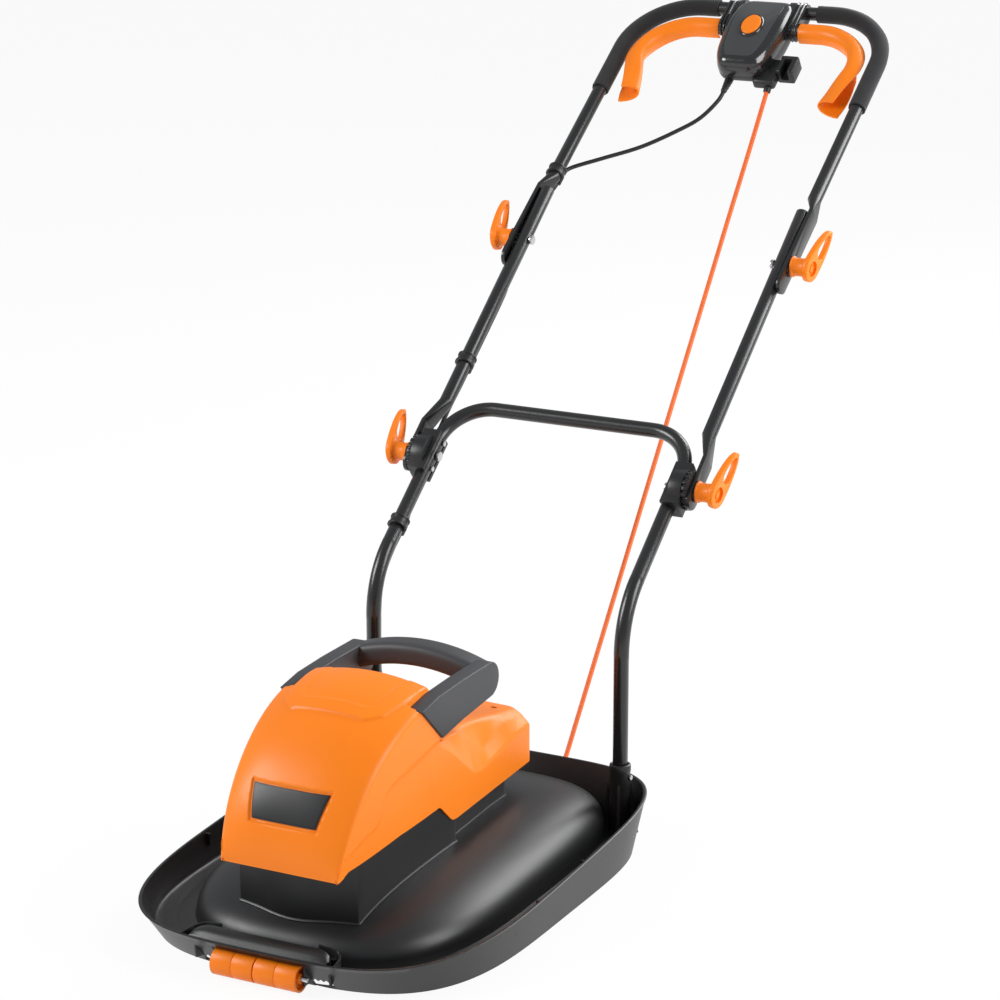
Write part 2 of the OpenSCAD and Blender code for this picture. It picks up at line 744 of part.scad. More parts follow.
module cover_screws() color(steel) on_deck() {
  seat = saddle_rear_h - cover_screw_deep;
  cover_screw_posts(screw_r, post_low + gap, seat + gap);
  cover_screw_posts(screw_head_r, seat + gap, seat + gap + screw_head_t);
}

module carry_handle() color(charcoal) on_deck() {
  bow_r = (arm_in * arm_in + grip_rise * grip_rise) / (2 * grip_rise);
  bow = 2 * asin((arm_in + arm_round) / bow_r);
  both_sides() arm(0);
  translate([0, grip_y, grip_h + grip_rise - bow_r]) rotate([90, 90 + bow / 2, 0])
    mirror([0, 0, 1]) rotate([0, 0, 180]) rotate_extrude(angle = bow) translate([bow_r, 0])
      offset(r = grip_round) square([grip_tall - 2 * grip_round, grip_deep - 2 * grip_round], center = true);
}

// Motor, fan and blade on one axis
module motor_stator() color(steel) on_deck() difference() {
  union() {
    translate([0, 0, motor_seat]) cylinder(r = motor_flange_r, h = motor_flange_t);
    translate([0, 0, motor_seat + motor_flange_t]) cylinder(d = motor_d, h = motor_h);
  }
  translate([0, 0, motor_seat + motor_flange_t])
    cylinder(d = motor_d * core_share + over, h = motor_h - motor_flange_t);
  translate([0, 0, motor_seat - over]) cylinder(r = bearing_r + gap, h = bearing_h + over);
  translate([0, 0, motor_top - bearing_h]) cylinder(r = bearing_r + gap, h = bearing_h + over);
}

module motor_bearings() color(steel) on_deck() for (z = [motor_seat, motor_top - bearing_h])
  translate([0, 0, z]) difference() {
    cylinder(r = bearing_r, h = bearing_h - gap);
    translate([0, 0, -over]) cylinder(r = shaft_d / 2 + run, h = bearing_h + 2 * over);
  }

module motor_capacitor() color(copper) on_deck()
  translate([0, motor_d / 2 + capacitor_r + gap, motor_seat + motor_flange_t + gap])
    cylinder(r = capacitor_r, h = capacitor_h);

module armature() color(copper) on_deck() {
  low = blade_z + blade_t + gap;
  core_from = motor_seat + motor_flange_t + bearing_h + over;
  core_to = motor_top - bearing_h - motor_flange_t - over;
  translate([0, 0, low]) cylinder(d = shaft_d, h = motor_top - low);
  translate([0, 0, core_from]) cylinder(d = motor_d * core_share, h = (core_to - core_from) * core_share);
  translate([0, 0, core_from]) cylinder(d = motor_d * commutator_share, h = core_to - core_from);
}

module hover_fan() color(charcoal) on_deck() difference() {
  union() {
    translate([0, 0, fan_top - fan_plate_t]) cylinder(d = fan_d, h = fan_plate_t);
    translate([0, 0, fan_top - fan_h - spacer_h / 2]) cylinder(r = fan_hub_r, h = fan_h + spacer_h / 2);
    for (k = [0 : fan_blades - 1]) rotate([0, 0, 360 * k / fan_blades])
      translate([fan_hub_r - over, -fan_blade_t / 2, fan_top - fan_h])
        cube([fan_d / 2 - fan_hub_r, fan_blade_t, fan_h]);
  }
  cylinder(r = shaft_d / 2 + run, h = fan_top + over);
}

fan_foot = fan_top - fan_h - spacer_h / 2;

module blade_spacer() color(black) on_deck() translate([0, 0, blade_z + blade_t + gap]) difference() {
  cylinder(r = fan_hub_r, h = fan_foot - blade_z - blade_t - 2 * gap);
  translate([0, 0, -over]) cylinder(r = shaft_d / 2 + run, h = fan_foot);
}

module blade() color(steel) on_deck() translate([0, 0, blade_z]) difference() {
  wing_from_share = 0.26;
  wing_l_share = 0.19;
  wing_tilt = 30;
  union() {
    translate([-blade_l / 2, -blade_w / 2, 0]) cube([blade_l, blade_w, blade_t]);
    for (a = [0, 180]) rotate([0, 0, a]) translate([blade_l * wing_from_share, blade_w / 2 - blade_t, 0])
      rotate([wing_tilt, 0, 0]) cube([blade_l * wing_l_share, blade_w / 4, blade_t]);
  }
  translate([0, 0, -over]) cylinder(d = bolt_d + 2 * run, h = blade_t + 2 * over);
}

module blade_bolt() color(steel) on_deck() {
  translate([0, 0, blade_z - gap - blade_bolt_h]) cylinder(r = blade_bolt_r, h = blade_bolt_h, $fn = 6);
  translate([0, 0, blade_z - gap - blade_bolt_h]) cylinder(d = bolt_d, h = blade_bolt_h + gap + blade_t);
}

// Lower handle: two legs, a bend back, and a crossbar
bend_trim = lower_bend_r * tan(rake / 2);
bend_h = joint_h - leg_fwd / tan(rake);
bend_s = leg_fwd / sin(rake) - bend_trim;
leg_foot_y = joint_y - leg_fwd;

// Its rod in the frame of the lower joint, with the legs run on past their feet
module lower_rod(d, past) {
  corner_x = lower_hw - crossbar_r;
  corner_s = crossbar_l - crossbar_r;
  translate([0, 0, crossbar_l]) x_rod(-corner_x, corner_x, d / 2);
  both_sides() {
    translate([corner_x, 0, corner_s]) rotate([90, 0, 0]) rotate_extrude(angle = 90)
      translate([crossbar_r, 0]) circle(d = d);
    translate([lower_hw, 0, -bend_s]) cylinder(d = d, h = bend_s + corner_s);
    translate([lower_hw, lower_bend_r, -bend_s])
      multmatrix([[0, 0, 1, 0], [-1, 0, 0, 0], [0, -1, 0, 0], [0, 0, 0, 1]]) {
      rotate([0, 0, -bend_lap]) rotate_extrude(angle = rake + 2 * bend_lap) translate([lower_bend_r, 0])
        circle(d = d + bend_swell);
      rotate([0, 0, rake]) translate([lower_bend_r, 0, 0]) rotate([-90, 0, 0])
        cylinder(d = d, h = bend_h - bend_trim - leg_foot_h + past);
    }
  }
}

module lower_handle() color(black) difference() {
  on_middle() difference() {
    lower_rod(tube_d, 0);
    lower_rod(tube_d - 2 * tube_wall, over);
  }
  on_joint() x_rod(-lower_hw - tube_d, lower_hw + tube_d, bolt_d / 2 + run);
  translate([0, leg_foot_y, socket_h - socket_wall * 4]) both_sides()
    x_rod(lower_hw, lower_hw + tube_d, screw_r + run);
  on_middle() both_sides() for (s = [-1, 1])
    translate([0, 0, s * block_screw_s]) x_rod(lower_hw - tube_d, lower_hw + tube_d, screw_r + run);
}

module socket_screws() color(steel) translate([0, leg_foot_y, socket_h - socket_wall * 4]) both_sides() {
  x_rod(lower_hw + tube_d / 2 - tube_wall, lower_hw + socket_r + gap, screw_r);
  x_rod(lower_hw + socket_r + gap, lower_hw + socket_r + gap + screw_head_t, screw_head_r);
}

// Ratchet joints: a block on the lower handle and a disc on the middle tube
module ratchet_block() difference() {
  on_middle() union() {
    x_rod(lower_hw, disc_in - gap, block_r);
    translate([block_in, -block_half_w, -block_half_l])
      cube([disc_in - gap - block_in, 2 * block_half_w, 2 * block_half_l]);
  }
  on_middle() {
    translate([lower_hw, 0, -2 * block_half_l]) cylinder(r = tube_d / 2 + gap, h = 4 * block_half_l);
    x_rod(block_in - over, disc_in + over, bolt_d / 2 + run);
    for (s = [-1, 1]) translate([0, 0, s * block_screw_s])
      x_rod(block_in - over, disc_in - gap - over, screw_r + run);
    translate([block_in - over, -tube_d / 2 - gap, -block_half_l - over])
      cube([lower_hw - block_in + over, tube_d + 2 * gap, 2 * (block_half_l + over)]);
  }
}
module ratchet_block_left() color(charcoal) ratchet_block();
module ratchet_block_right() color(charcoal) mirror([1, 0, 0]) ratchet_block();

module ratchet_screws() color(steel) on_middle() both_sides() for (s = [-1, 1])
  translate([0, 0, s * block_screw_s]) {
  head = lower_hw - tube_d / 2 - gap - screw_head_t;
  x_rod(head, disc_in - 2 * gap - over, screw_r);
  x_rod(head - gap, head + screw_head_t - gap, screw_head_r);
}

module lower_joint_bolts() color(steel) on_joint() both_sides() {
  head = lower_hw - tube_d / 2 - gap;
  x_rod(head - bolt_head_t, head, bolt_head_r);
  x_rod(head - over, knob_seat + knob_l * knob_bore_share - gap, bolt_d / 2);
}

module ratchet_disc() on_middle() difference() {
  x_rod(disc_in, disc_in + disc_t, disc_r);
  x_rod(disc_in - over, disc_in + disc_t + over, bolt_d / 2 + run);
  for (k = [0 : disc_notches - 1]) rotate([360 * k / disc_notches, 0, 0]) translate([0, disc_r, 0])
    x_rod(disc_in - over, disc_in + disc_t + over, disc_notch_r);
}
module ratchet_disc_left() color(charcoal) ratchet_disc();
module ratchet_disc_right() color(charcoal) mirror([1, 0, 0]) ratchet_disc();

// Flattened tube end: a plate with a round end, and a stretch that grows into the round tube
module flattened_end(end_s, flat_s, round_s, axis_x) {
  x_rod_h = flat_t;
  translate([flat_in, 0, -end_s + flat_w / 2]) x_rod(0, x_rod_h, flat_w / 2);
  translate([flat_in, -flat_w / 2, -end_s + flat_w / 2]) cube([flat_t, flat_w, flat_s + end_s - flat_w / 2]);
  hull() {
    translate([flat_in, -flat_w / 2, flat_s - gap]) cube([flat_t, flat_w, gap]);
    translate([axis_x, 0, round_s]) cylinder(d = tube_d, h = gap, $fn = 32);
  }
}

module middle_tube() on_middle() difference() {
  union() {
    flattened_end(flat_end + flat_w / 2, middle_flat_l, middle_round_l, middle_hw);
    translate([middle_hw, 0, middle_round_l])
      cylinder(d = tube_d, h = middle_l + middle_over - middle_round_l);
  }
  translate([middle_hw, 0, middle_round_l + tube_d])
    cylinder(d = tube_d - 2 * tube_wall,
      h = middle_l + middle_over - middle_round_l - tube_d - 2 * tube_wall);
  x_rod(flat_in - over, flat_out + over, bolt_d / 2 + run);
  translate([0, 0, middle_l]) x_rod(middle_hw - tube_d, middle_hw + tube_d, bolt_d / 2 + run);
}
module middle_tube_left() color(black) middle_tube();
module middle_tube_right() color(black) mirror([1, 0, 0]) middle_tube();

module upper_joint_bolts() color(steel) on_middle() translate([0, 0, middle_l]) both_sides() {
  head = middle_hw - tube_d / 2 - gap;
  x_rod(head - bolt_head_t, head, bolt_head_r);
  x_rod(head - over, knob_seat + knob_l * knob_bore_share - gap, bolt_d / 2);
}

module washers() both_sides() difference() {
  x_rod(flat_out + gap, flat_out + gap + washer_t, washer_r);
  x_rod(flat_out - over, knob_seat + over, bolt_d / 2 + run);
}
module lower_joint_washers() color(steel) on_joint() washers();
module upper_joint_washers() color(steel) on_upper() washers();

// Knob: a waisted stem with a flange that runs up into an open wing
module knob() {
  r = knob_d / 2;
  flange_r = r * knob_flange_share;
  wing_t = knob_l * wing_t_share;
  tip_r = knob_reach * wing_tip_share;
  eye_r = tip_r * knob_eye_share;
  difference() {
    union() {
      translate([knob_seat, 0, 0]) rotate([0, 90, 0]) rotate_extrude()
        polygon([[0, 0], [r, 0], [r * knob_waist_share, knob_l * wing_t_share],
          [r * knob_waist_share, knob_l * (1 - 2 * wing_t_share)],
          [flange_r * knob_waist_share, knob_l - wing_t * knob_bore_share],
            [0, knob_l - wing_t * knob_bore_share]]);
      translate([knob_seat + knob_l, 0, 0]) rotate([0, wing_lean, 0]) difference() {
        hull() {
          x_rod(-wing_t, 0, flange_r, $fn = 32);
          translate([0, 0, knob_reach - tip_r]) x_rod(-wing_t, 0, tip_r, $fn = 32);
        }
        hull() {
          translate([0, 0, knob_reach - tip_r]) x_rod(-wing_t - over, over, eye_r * eye_tip_share, $fn = 32);
          translate([0, 0, flange_r + eye_r]) x_rod(-wing_t - over, over, eye_r * eye_root_share, $fn = 32);
        }
      }
    }
    x_rod(knob_seat - over, knob_seat + knob_l * knob_bore_share, bolt_d / 2 + run);
  }
}
knob_turn = 8;
module knob_lower_left() color(orange) on_middle() rotate([knob_turn, 0, 0]) knob();
module knob_lower_right() color(orange) on_middle() rotate([knob_turn, 0, 0]) mirror([1, 0, 0]) knob();
module knob_upper_left() color(orange) on_upper() rotate([knob_turn, 0, 0]) knob();
module knob_upper_right() color(orange) on_upper() rotate([knob_turn, 0, 0]) mirror([1, 0, 0]) knob();

// Upper handle and foam grips
upper_side = [[upper_hw, 0, upper_round_l], [upper_hw, 0, upper_l]];

module upper_handle() color(black) on_upper() difference() {
  union() {
    bent_rod(concat(upper_side, reversed(mirror_x(upper_side))), [upper_corner_r, upper_corner_r], tube_d);
    both_sides() flattened_end(upper_end + flat_w / 2, upper_flat_l, upper_round_l, upper_hw);
  }
  bore_side = [[upper_hw, 0, upper_round_l + tube_d], [upper_hw, 0, upper_l]];
  bent_rod(concat(bore_side, reversed(mirror_x(bore_side))), [upper_corner_r, upper_corner_r],
    tube_d - 2 * tube_wall);
  x_rod(-flat_out - over, flat_out + over, bolt_d / 2 + run);
}

module foam_grip() on_upper()
  bent_tube([[upper_hw, 0, foam_from], [upper_hw, 0, upper_l], [foam_gap, 0, upper_l]], [upper_corner_r],
    foam_d, tube_d + 2 * gap);
module foam_grip_left() color(black) foam_grip();
module foam_grip_right() color(black) mirror([1, 0, 0]) foam_grip();

// Cable clips round the right-hand tubes, with an eye for the lead behind the tube
module clip() {
  difference() {
    union() {
      cylinder(d = tube_d + 2 * clip_t, h = clip_l, center = true);
      for (e = [-1, 1]) translate([0, 0, e * (clip_l - clip_t) / 2])
        cylinder(d = tube_d + 2 * (clip_t + clip_band), h = clip_t, center = true);
      translate([0, lead_out, 0]) cylinder(d = lead_d + 2 * clip_t, h = clip_l, center = true);
    }
    cylinder(d = tube_d + gap, h = clip_l + over, center = true);
    translate([0, lead_out, 0]) cylinder(d = lead_d + gap, h = clip_l + over, center = true);
  }
}
module cable_clip_low() color(black) on_middle() translate([-lower_hw, 0, -clip_low_drop]) clip();
module cable_clip_mid() color(black) on_middle() translate([-middle_hw, 0, clip_mid_s]) clip();
module cable_clip_top() color(black) on_upper() translate([-upper_hw, 0, clip_top_s]) clip();

// Motor lead in three stretches, which meet behind the joints
function to_middle(p) = let (v = p - [0, joint_y, joint_h])
  [v.x, v.y * cos(rake) - v.z * sin(rake), v.y * sin(rake) + v.z * cos(rake)];
lead_bend_r = lower_bend_r - lead_out;
lead_bend_route = [for (k = [0 : 3]) let (a = rake * k / 3)
  [-lower_hw, lower_bend_r - lead_bend_r * cos(a), -bend_s - lead_bend_r * sin(a)]];
lead_low_path = concat(lead_low_route, lead_bend_route, [for (p = lead_leg_route) to_middle(p)]);
module lead_low() color(black) on_middle() sweep(spline(lead_low_path, cord_steps), lead_d, cord_sides);
module lead_mid() color(black) on_middle() sweep(spline(lead_mid_route, cord_steps), lead_d, cord_sides);
module lead_top() color(black) on_upper() sweep(spline(lead_top_route, cord_steps), lead_d, cord_sides);

// Switch box, in the upper handle's frame: z runs up the handle and -y is its upper face
box_low = upper_l - box_l;
shaft_s = upper_l - shaft_drop;

module box_plan(inset) {
  hw = box_hw - inset;
  offset(r = box_corner_r / 2) offset(r = -box_corner_r / 2)
    polygon([[-hw, upper_l], [-hw, upper_l - box_l * box_shoulder_share],
      [-hw * box_tip_hw_share, box_low + inset],
      [hw * box_tip_hw_share, box_low + inset], [hw, upper_l - box_l * box_shoulder_share], [hw, upper_l]]);
}

// Extrusion of a plan in the handle's plane, between two heights above it
module above_plane(from, to) translate([0, -from, 0]) rotate([90, 0, 0]) linear_extrude(to - from) children();

module box_outer() {
  above_plane(-box_deep, box_face) box_plan(0);
  translate([0, 0, upper_l]) x_rod(-box_hw, box_hw, bar_wrap_r);
}

module box_hollow() above_plane(-box_deep + box_wall, box_face - box_wall) difference() {
  box_plan(box_wall);
  translate([-box_hw, upper_l - bar_wrap_r]) square([2 * box_hw, 2 * bar_wrap_r]);
}

module box_half(upper) intersection() {
  cut = box_deep + box_face + bar_wrap_r;
  translate([-box_hw - over, upper ? -cut - gap / 2 : gap / 2, box_low - cut])
    cube([2 * (box_hw + over), cut, box_l + 2 * cut]);
  difference() {
    box_outer();
    box_hollow();
    translate([0, 0, upper_l]) x_rod(-box_hw - over, box_hw + over, tube_d / 2 + gap);
    translate([0, shaft_below, shaft_s]) x_rod(-box_hw - over, box_hw + over, shaft_r + run);
  }
}

module panel_plan(grow) {
  hw = box_hw * panel_hw_share;
  offset(r = box_corner_r / 2 + grow) offset(r = -box_corner_r / 2)
    polygon([[-hw, box_low + box_l * panel_from_share],
      [-box_hw * panel_tip_share, box_low + box_l * panel_to_share / 2],
      [box_hw * panel_tip_share, box_low + box_l * panel_to_share / 2],
        [hw, box_low + box_l * panel_from_share]]);
}

module at_button() translate([0, 0, upper_l - button_drop]) rotate([90, 0, 0]) children();

module switch_box_top() color(black) on_upper() difference() {
  box_half(true);
  above_plane(box_face - panel_t, box_face + over) panel_plan(gap);
  at_button() cylinder(d = button_d + gap, h = box_face + over);
}

module switch_panel() color(charcoal) on_upper() difference() {
  above_plane(box_face - panel_t + gap, box_face) panel_plan(0);
  at_button() cylinder(d = button_d + gap, h = box_face + over);
}

module lock_button() color(orange) on_upper() at_button() {
  top = box_face + button_proud;
  lip = box_face - box_wall - gap - button_flange - button_travel / 2;
  translate([0, 0, lip + button_flange]) cylinder(d = button_d - gap, h = top - lip - button_flange);
  translate([0, 0, lip]) cylinder(d = button_d + 2 * button_flange, h = button_flange);
  translate([0, 0, lip - button_travel]) cylinder(d = button_d * button_stem_share, h = button_travel);
}

module switch_box_base() color(black) difference() {
  on_upper() difference() {
    union() {
      box_half(false);
      translate([nose_x - nose_size.x / 2, box_deep - nose_size.y, box_low - nose_size.z / 2])
        cube([nose_size.x, nose_size.y, nose_size.z]);
    }
    translate([nose_x - nose_size.x / 2 + box_wall, box_deep - nose_size.y + box_wall,
      box_low - nose_size.z / 2 + box_wall])
      cube([nose_size.x - 2 * box_wall, nose_size.y - 2 * box_wall, nose_size.z]);
    translate([lead_exit.x, lead_exit.y, box_low - over])
      cylinder(r = lead_d / 2 + gap, h = box_wall + 2 * over);
  }
  along(cord_route[0], cord_route[1]) translate([0, 0, -over])
    cylinder(r = cord_d / 2 + gap, h = gland_start + over);
}

module switch_unit() color(charcoal) on_upper()
  translate([-switch_size.x / 2, box_deep - box_wall - gap - switch_size.y,
    shaft_s - shaft_r * 2 - switch_size.z])
    cube(switch_size);

module cord_hook() color(black) on_upper() difference() {
  translate([hook_x - hook_size.x / 2, gap, upper_l - hook_drop]) cube(hook_size);
  translate([hook_x - hook_slot.x / 2, -over, upper_l - hook_drop + hook_slot.x])
    cube([hook_slot.x, hook_size.y + 2 * over, hook_size.z]);
}

module lever_shaft() color(steel) on_upper() translate([0, shaft_below, shaft_s])
  x_rod(-box_hw - lever_root_l, box_hw + lever_root_l, shaft_r);

// Lever: a shaft sleeve that runs out along the bar, round its corner and in again, open at its back
lever_line = concat([[box_hw + lever_gap, shaft_s], [lever_reach, shaft_s]],
  [for (k = [1 : lever_turn_steps]) let (a = 90 - lever_turn * k / lever_turn_steps)
    [lever_reach + lever_bend_r * cos(a), shaft_s - lever_bend_r + lever_bend_r * sin(a)]],
  [[lever_reach + lever_bend_r - lever_end_in, shaft_s - lever_end_drop]]);

function flat_normals(p) = [for (i = [0 : len(p) - 1])
  let (t = unit(p[min(i + 1, len(p) - 1)] - p[max(i - 1, 0)])) [-t.y, t.x]];
module band(p, from, to) {
  n = flat_normals(p);
  polygon(concat([for (i = [0 : len(p) - 1]) p[i] + from * n[i]],
    reversed([for (i = [0 : len(p) - 1]) p[i] + to * n[i]])));
}

module lever() on_upper() difference() {
  union() {
    above_plane(lever_deep / 2 - lever_skin, lever_deep / 2) band(lever_line, -lever_w / 2, lever_w / 2);
    above_plane(-lever_deep / 2, lever_deep / 2) band(lever_line, -lever_w / 2, -lever_w / 2 + lever_skin);
    translate([0, shaft_below, shaft_s])
      x_rod(box_hw + gap, box_hw + lever_root_l + lever_skin, shaft_r + lever_skin);
    translate([box_hw + lever_gap, -lever_deep / 2, shaft_s - lever_w / 2])
      cube([lever_root_l + lever_skin, lever_deep / 2 + shaft_below, lever_w / 2]);
  }
  translate([0, shaft_below, shaft_s]) x_rod(box_hw - over, box_hw + lever_root_l + gap, shaft_r + run);
}
module lever_left() color(orange) lever();
module lever_right() color(orange) mirror([1, 0, 0]) lever();

// Glands, mains cord, coil, tie and plug
lead_exit = lead_top_route[len(lead_top_route) - 1];
module lead_gland() color(black) on_upper() translate([lead_exit.x, lead_exit.y, box_low - gap])
  mirror([0, 0, 1]) difference() {
  cylinder(r1 = gland_r, r2 = lead_d / 2 + gland_wall, h = gland_l / 2);
  translate([0, 0, -over]) cylinder(r = lead_d / 2 + gap / 2, h = gland_l);
}

module cord_gland() color(black) along(cord_route[0], cord_route[1]) translate([0, 0, gland_start])
  difference() {
  cylinder(r1 = gland_r, r2 = gland_tip_r, h = gland_l);
  translate([0, 0, -over]) cylinder(r = cord_d / 2 + gap / 2, h = gland_l + 2 * over);
}

module mains_cord() color(orange) sweep(spline(cord_route, cord_steps), cord_d, cord_sides);

function coil_fold(u) = let (k = floor(u / coil_turns), f = u - k * coil_turns)
  k % 2 == 0 ? f : coil_turns - f;
function coil_step(x) = x <= 0 ? 0 : x >= 1 ? 1 : x * x * (3 - 2 * x);
function coil_lift(u) = let (layers = coil_layers - 1) [for (k = 1, s = 0; k <= coil_layers;
  s = s + (k <= layers ? coil_step((u - k * coil_turns) / coil_climb_share + 0.5) : 0), k = k + 1) s][layers];
coil_points = [for (i = [0 : coil_rings * coil_turns * coil_layers]) let (u = i / coil_rings,
    a = -90 - 360 * u, r = coil_r - coil_pitch * coil_fold(u))
  coil_centre + [r * cos(a), r * sin(a), coil_pitch * coil_lift(u)]];
coil_path = concat(coil_points, spline(concat([coil_points[len(coil_points) - 1]], tail_route), cord_steps));
coil_gap = min([for (i = [0 : 3 : len(coil_points) - coil_rings])
  min([for (j = [i + coil_rings / 2 : 1 : len(coil_points) - 1])
  norm(coil_points[i] - coil_points[j])])]) - cord_d;
echo("least gap of the coil to itself", coil_gap);
echo("length of cord", path_length(spline(cord_route, cord_steps)), path_length(coil_path));

module cord_coil() color(orange) sweep(coil_path, cord_d, 6);

module coil_tie() color(black) {
  in_r = coil_r - coil_turns * coil_pitch - cord_d / 2 - gap;
  out_r = coil_r + cord_d / 2 + gap;
  high = (coil_layers - 1) * coil_pitch + cord_d + 2 * gap;
  translate(coil_centre) translate([0, -tie_w / 2, -cord_d / 2 - gap]) difference() {
    translate([in_r - tie_t, 0, -tie_t]) cube([out_r - in_r + 2 * tie_t, tie_w, high + 2 * tie_t]);
    translate([in_r, -over, 0]) cube([out_r - in_r, tie_w + 2 * over, high]);
  }
}

plug_at = tail_route[len(tail_route) - 1];
module plug() color(black) translate([plug_at.x, plug_at.y, plug_h / 2 + gap]) mirror([1, 0, 0]) {
  hull() for (y = [-1, 1], z = [-1, 1])
    translate([0, y * (plug_w / 2 - plug_round), z * (plug_h / 2 - plug_round)])
    x_rod(gap, plug_l, plug_round, $fn = 32);
  for (y = [-1, 1]) translate([0, y * plug_pin_gap / 2, 0])
    x_rod(plug_l - over, plug_l + plug_pin_l, plug_pin_d / 2);
}

deck_hood();
roller_bracket();
roller_axle();
roller_left();
roller_right();
motor_housing();
motor_cover();
badge_plate();
cover_screws();
carry_handle();
motor_stator();
motor_bearings();
motor_capacitor();
armature();
hover_fan();
blade_spacer();
blade();
blade_bolt();
lower_handle();
socket_screws();
ratchet_block_left();
ratchet_block_right();
ratchet_screws();
lower_joint_bolts();
cable_clip_low();
lead_low();
housing_gland();
middle_tube_left();
middle_tube_right();
ratchet_disc_left();
ratchet_disc_right();
upper_joint_bolts();
lower_joint_washers();
cable_clip_mid();
lead_mid();
upper_handle();
foam_grip_left();
foam_grip_right();
switch_box_top();
switch_box_base();
switch_panel();
switch_unit();
cord_hook();
upper_joint_washers();
cable_clip_top();
lead_gland();
lead_top();
cord_gland();
mains_cord();
cord_coil();
coil_tie();
plug();
lever_shaft();
lever_left();
lever_right();
lock_button();
knob_lower_left();
knob_lower_right();
knob_upper_left();
knob_upper_right();
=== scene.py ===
"""Looks of a hover mower with a folding tube handle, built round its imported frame."""

import json
from math import acos, asin, atan2, copysign, cos, exp, hypot, pi, radians, sin, sqrt, tan

import bmesh
import bpy
from mathutils import Matrix, Vector


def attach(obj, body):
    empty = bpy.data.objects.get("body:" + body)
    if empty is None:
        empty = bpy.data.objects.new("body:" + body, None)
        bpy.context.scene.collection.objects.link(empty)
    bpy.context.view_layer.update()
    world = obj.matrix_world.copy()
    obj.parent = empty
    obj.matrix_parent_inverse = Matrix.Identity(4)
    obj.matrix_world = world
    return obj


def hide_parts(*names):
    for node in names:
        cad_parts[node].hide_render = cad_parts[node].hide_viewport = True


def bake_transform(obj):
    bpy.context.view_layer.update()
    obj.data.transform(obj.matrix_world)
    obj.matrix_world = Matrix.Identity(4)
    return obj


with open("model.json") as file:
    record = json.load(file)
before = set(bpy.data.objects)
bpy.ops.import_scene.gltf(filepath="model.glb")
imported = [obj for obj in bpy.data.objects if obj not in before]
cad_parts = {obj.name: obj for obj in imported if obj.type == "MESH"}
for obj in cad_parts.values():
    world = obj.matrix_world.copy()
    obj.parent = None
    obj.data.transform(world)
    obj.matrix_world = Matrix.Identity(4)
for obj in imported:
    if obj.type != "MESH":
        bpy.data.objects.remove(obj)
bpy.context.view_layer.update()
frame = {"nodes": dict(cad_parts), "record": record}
scene = bpy.context.scene
nodes = frame["nodes"]
bodies = frame["record"]["behaviour"]["bodies"]
body_of_node = {node: body for body, members in bodies.items() for node in members}
slot_of_node = {entry["node"]: entry["material_slot"] for entry in frame["record"]["subparts"]}
dressed = set()

# Places that the solids share, in metres
JOINT = Vector((0, 0.018931, 0.419))
UPPER_JOINT = Vector((0, 0.315781, 0.653018))
DECK_Y = -0.404069
RAKE = radians(51.75)
UPPER_RAKE = radians(55)
TO_MIDDLE = Matrix.Translation(JOINT) @ Matrix.Rotation(-RAKE, 4, "X")
TO_UPPER = Matrix.Translation(UPPER_JOINT) @ Matrix.Rotation(-UPPER_RAKE, 4, "X")
MM = 0.001

# The upper handle's tube, in millimetres: half width, the bend's radius and the length up to the bar
UPPER_HW = 195
UPPER_BEND_R = 95
UPPER_L = 485

# The lower handle's legs, in millimetres from the deck's middle
LEG_X = 176
LEG_Y = 267


# Camera at the photograph's place

camera = bpy.data.objects.new("camera", bpy.data.cameras.new("camera"))
camera.data.sensor_width = 36
camera.data.lens = 114.9
camera.data.clip_end = 50
camera.location = (1.76413, -3.52861, 1.51471)
camera.rotation_euler = (radians(90 - 15.969), 0, radians(27.389))
scene.collection.objects.link(camera)
scene.camera = camera


# Shader sockets as values

class Value:
    """A socket of a finish; arithmetic on it adds Math nodes."""

    def __init__(self, finish, socket):
        self.finish = finish
        self.socket = socket

    def maths(self, operation, other):
        return self.finish.node("ShaderNodeMath", {"operation": operation}, {0: self, 1: other})

    def __add__(self, other):
        return self.maths("ADD", other)

    __radd__ = __add__

    def __sub__(self, other):
        return self.maths("SUBTRACT", other)

    def __mul__(self, other):
        return self.maths("MULTIPLY", other)

    def step(self, low, high):
        """0 below low, 1 above high, smooth between."""
        limits = {"Value": self, "From Min": low, "From Max": high}
        return self.finish.node("ShaderNodeMapRange", {"interpolation_type": "SMOOTHSTEP"}, limits)


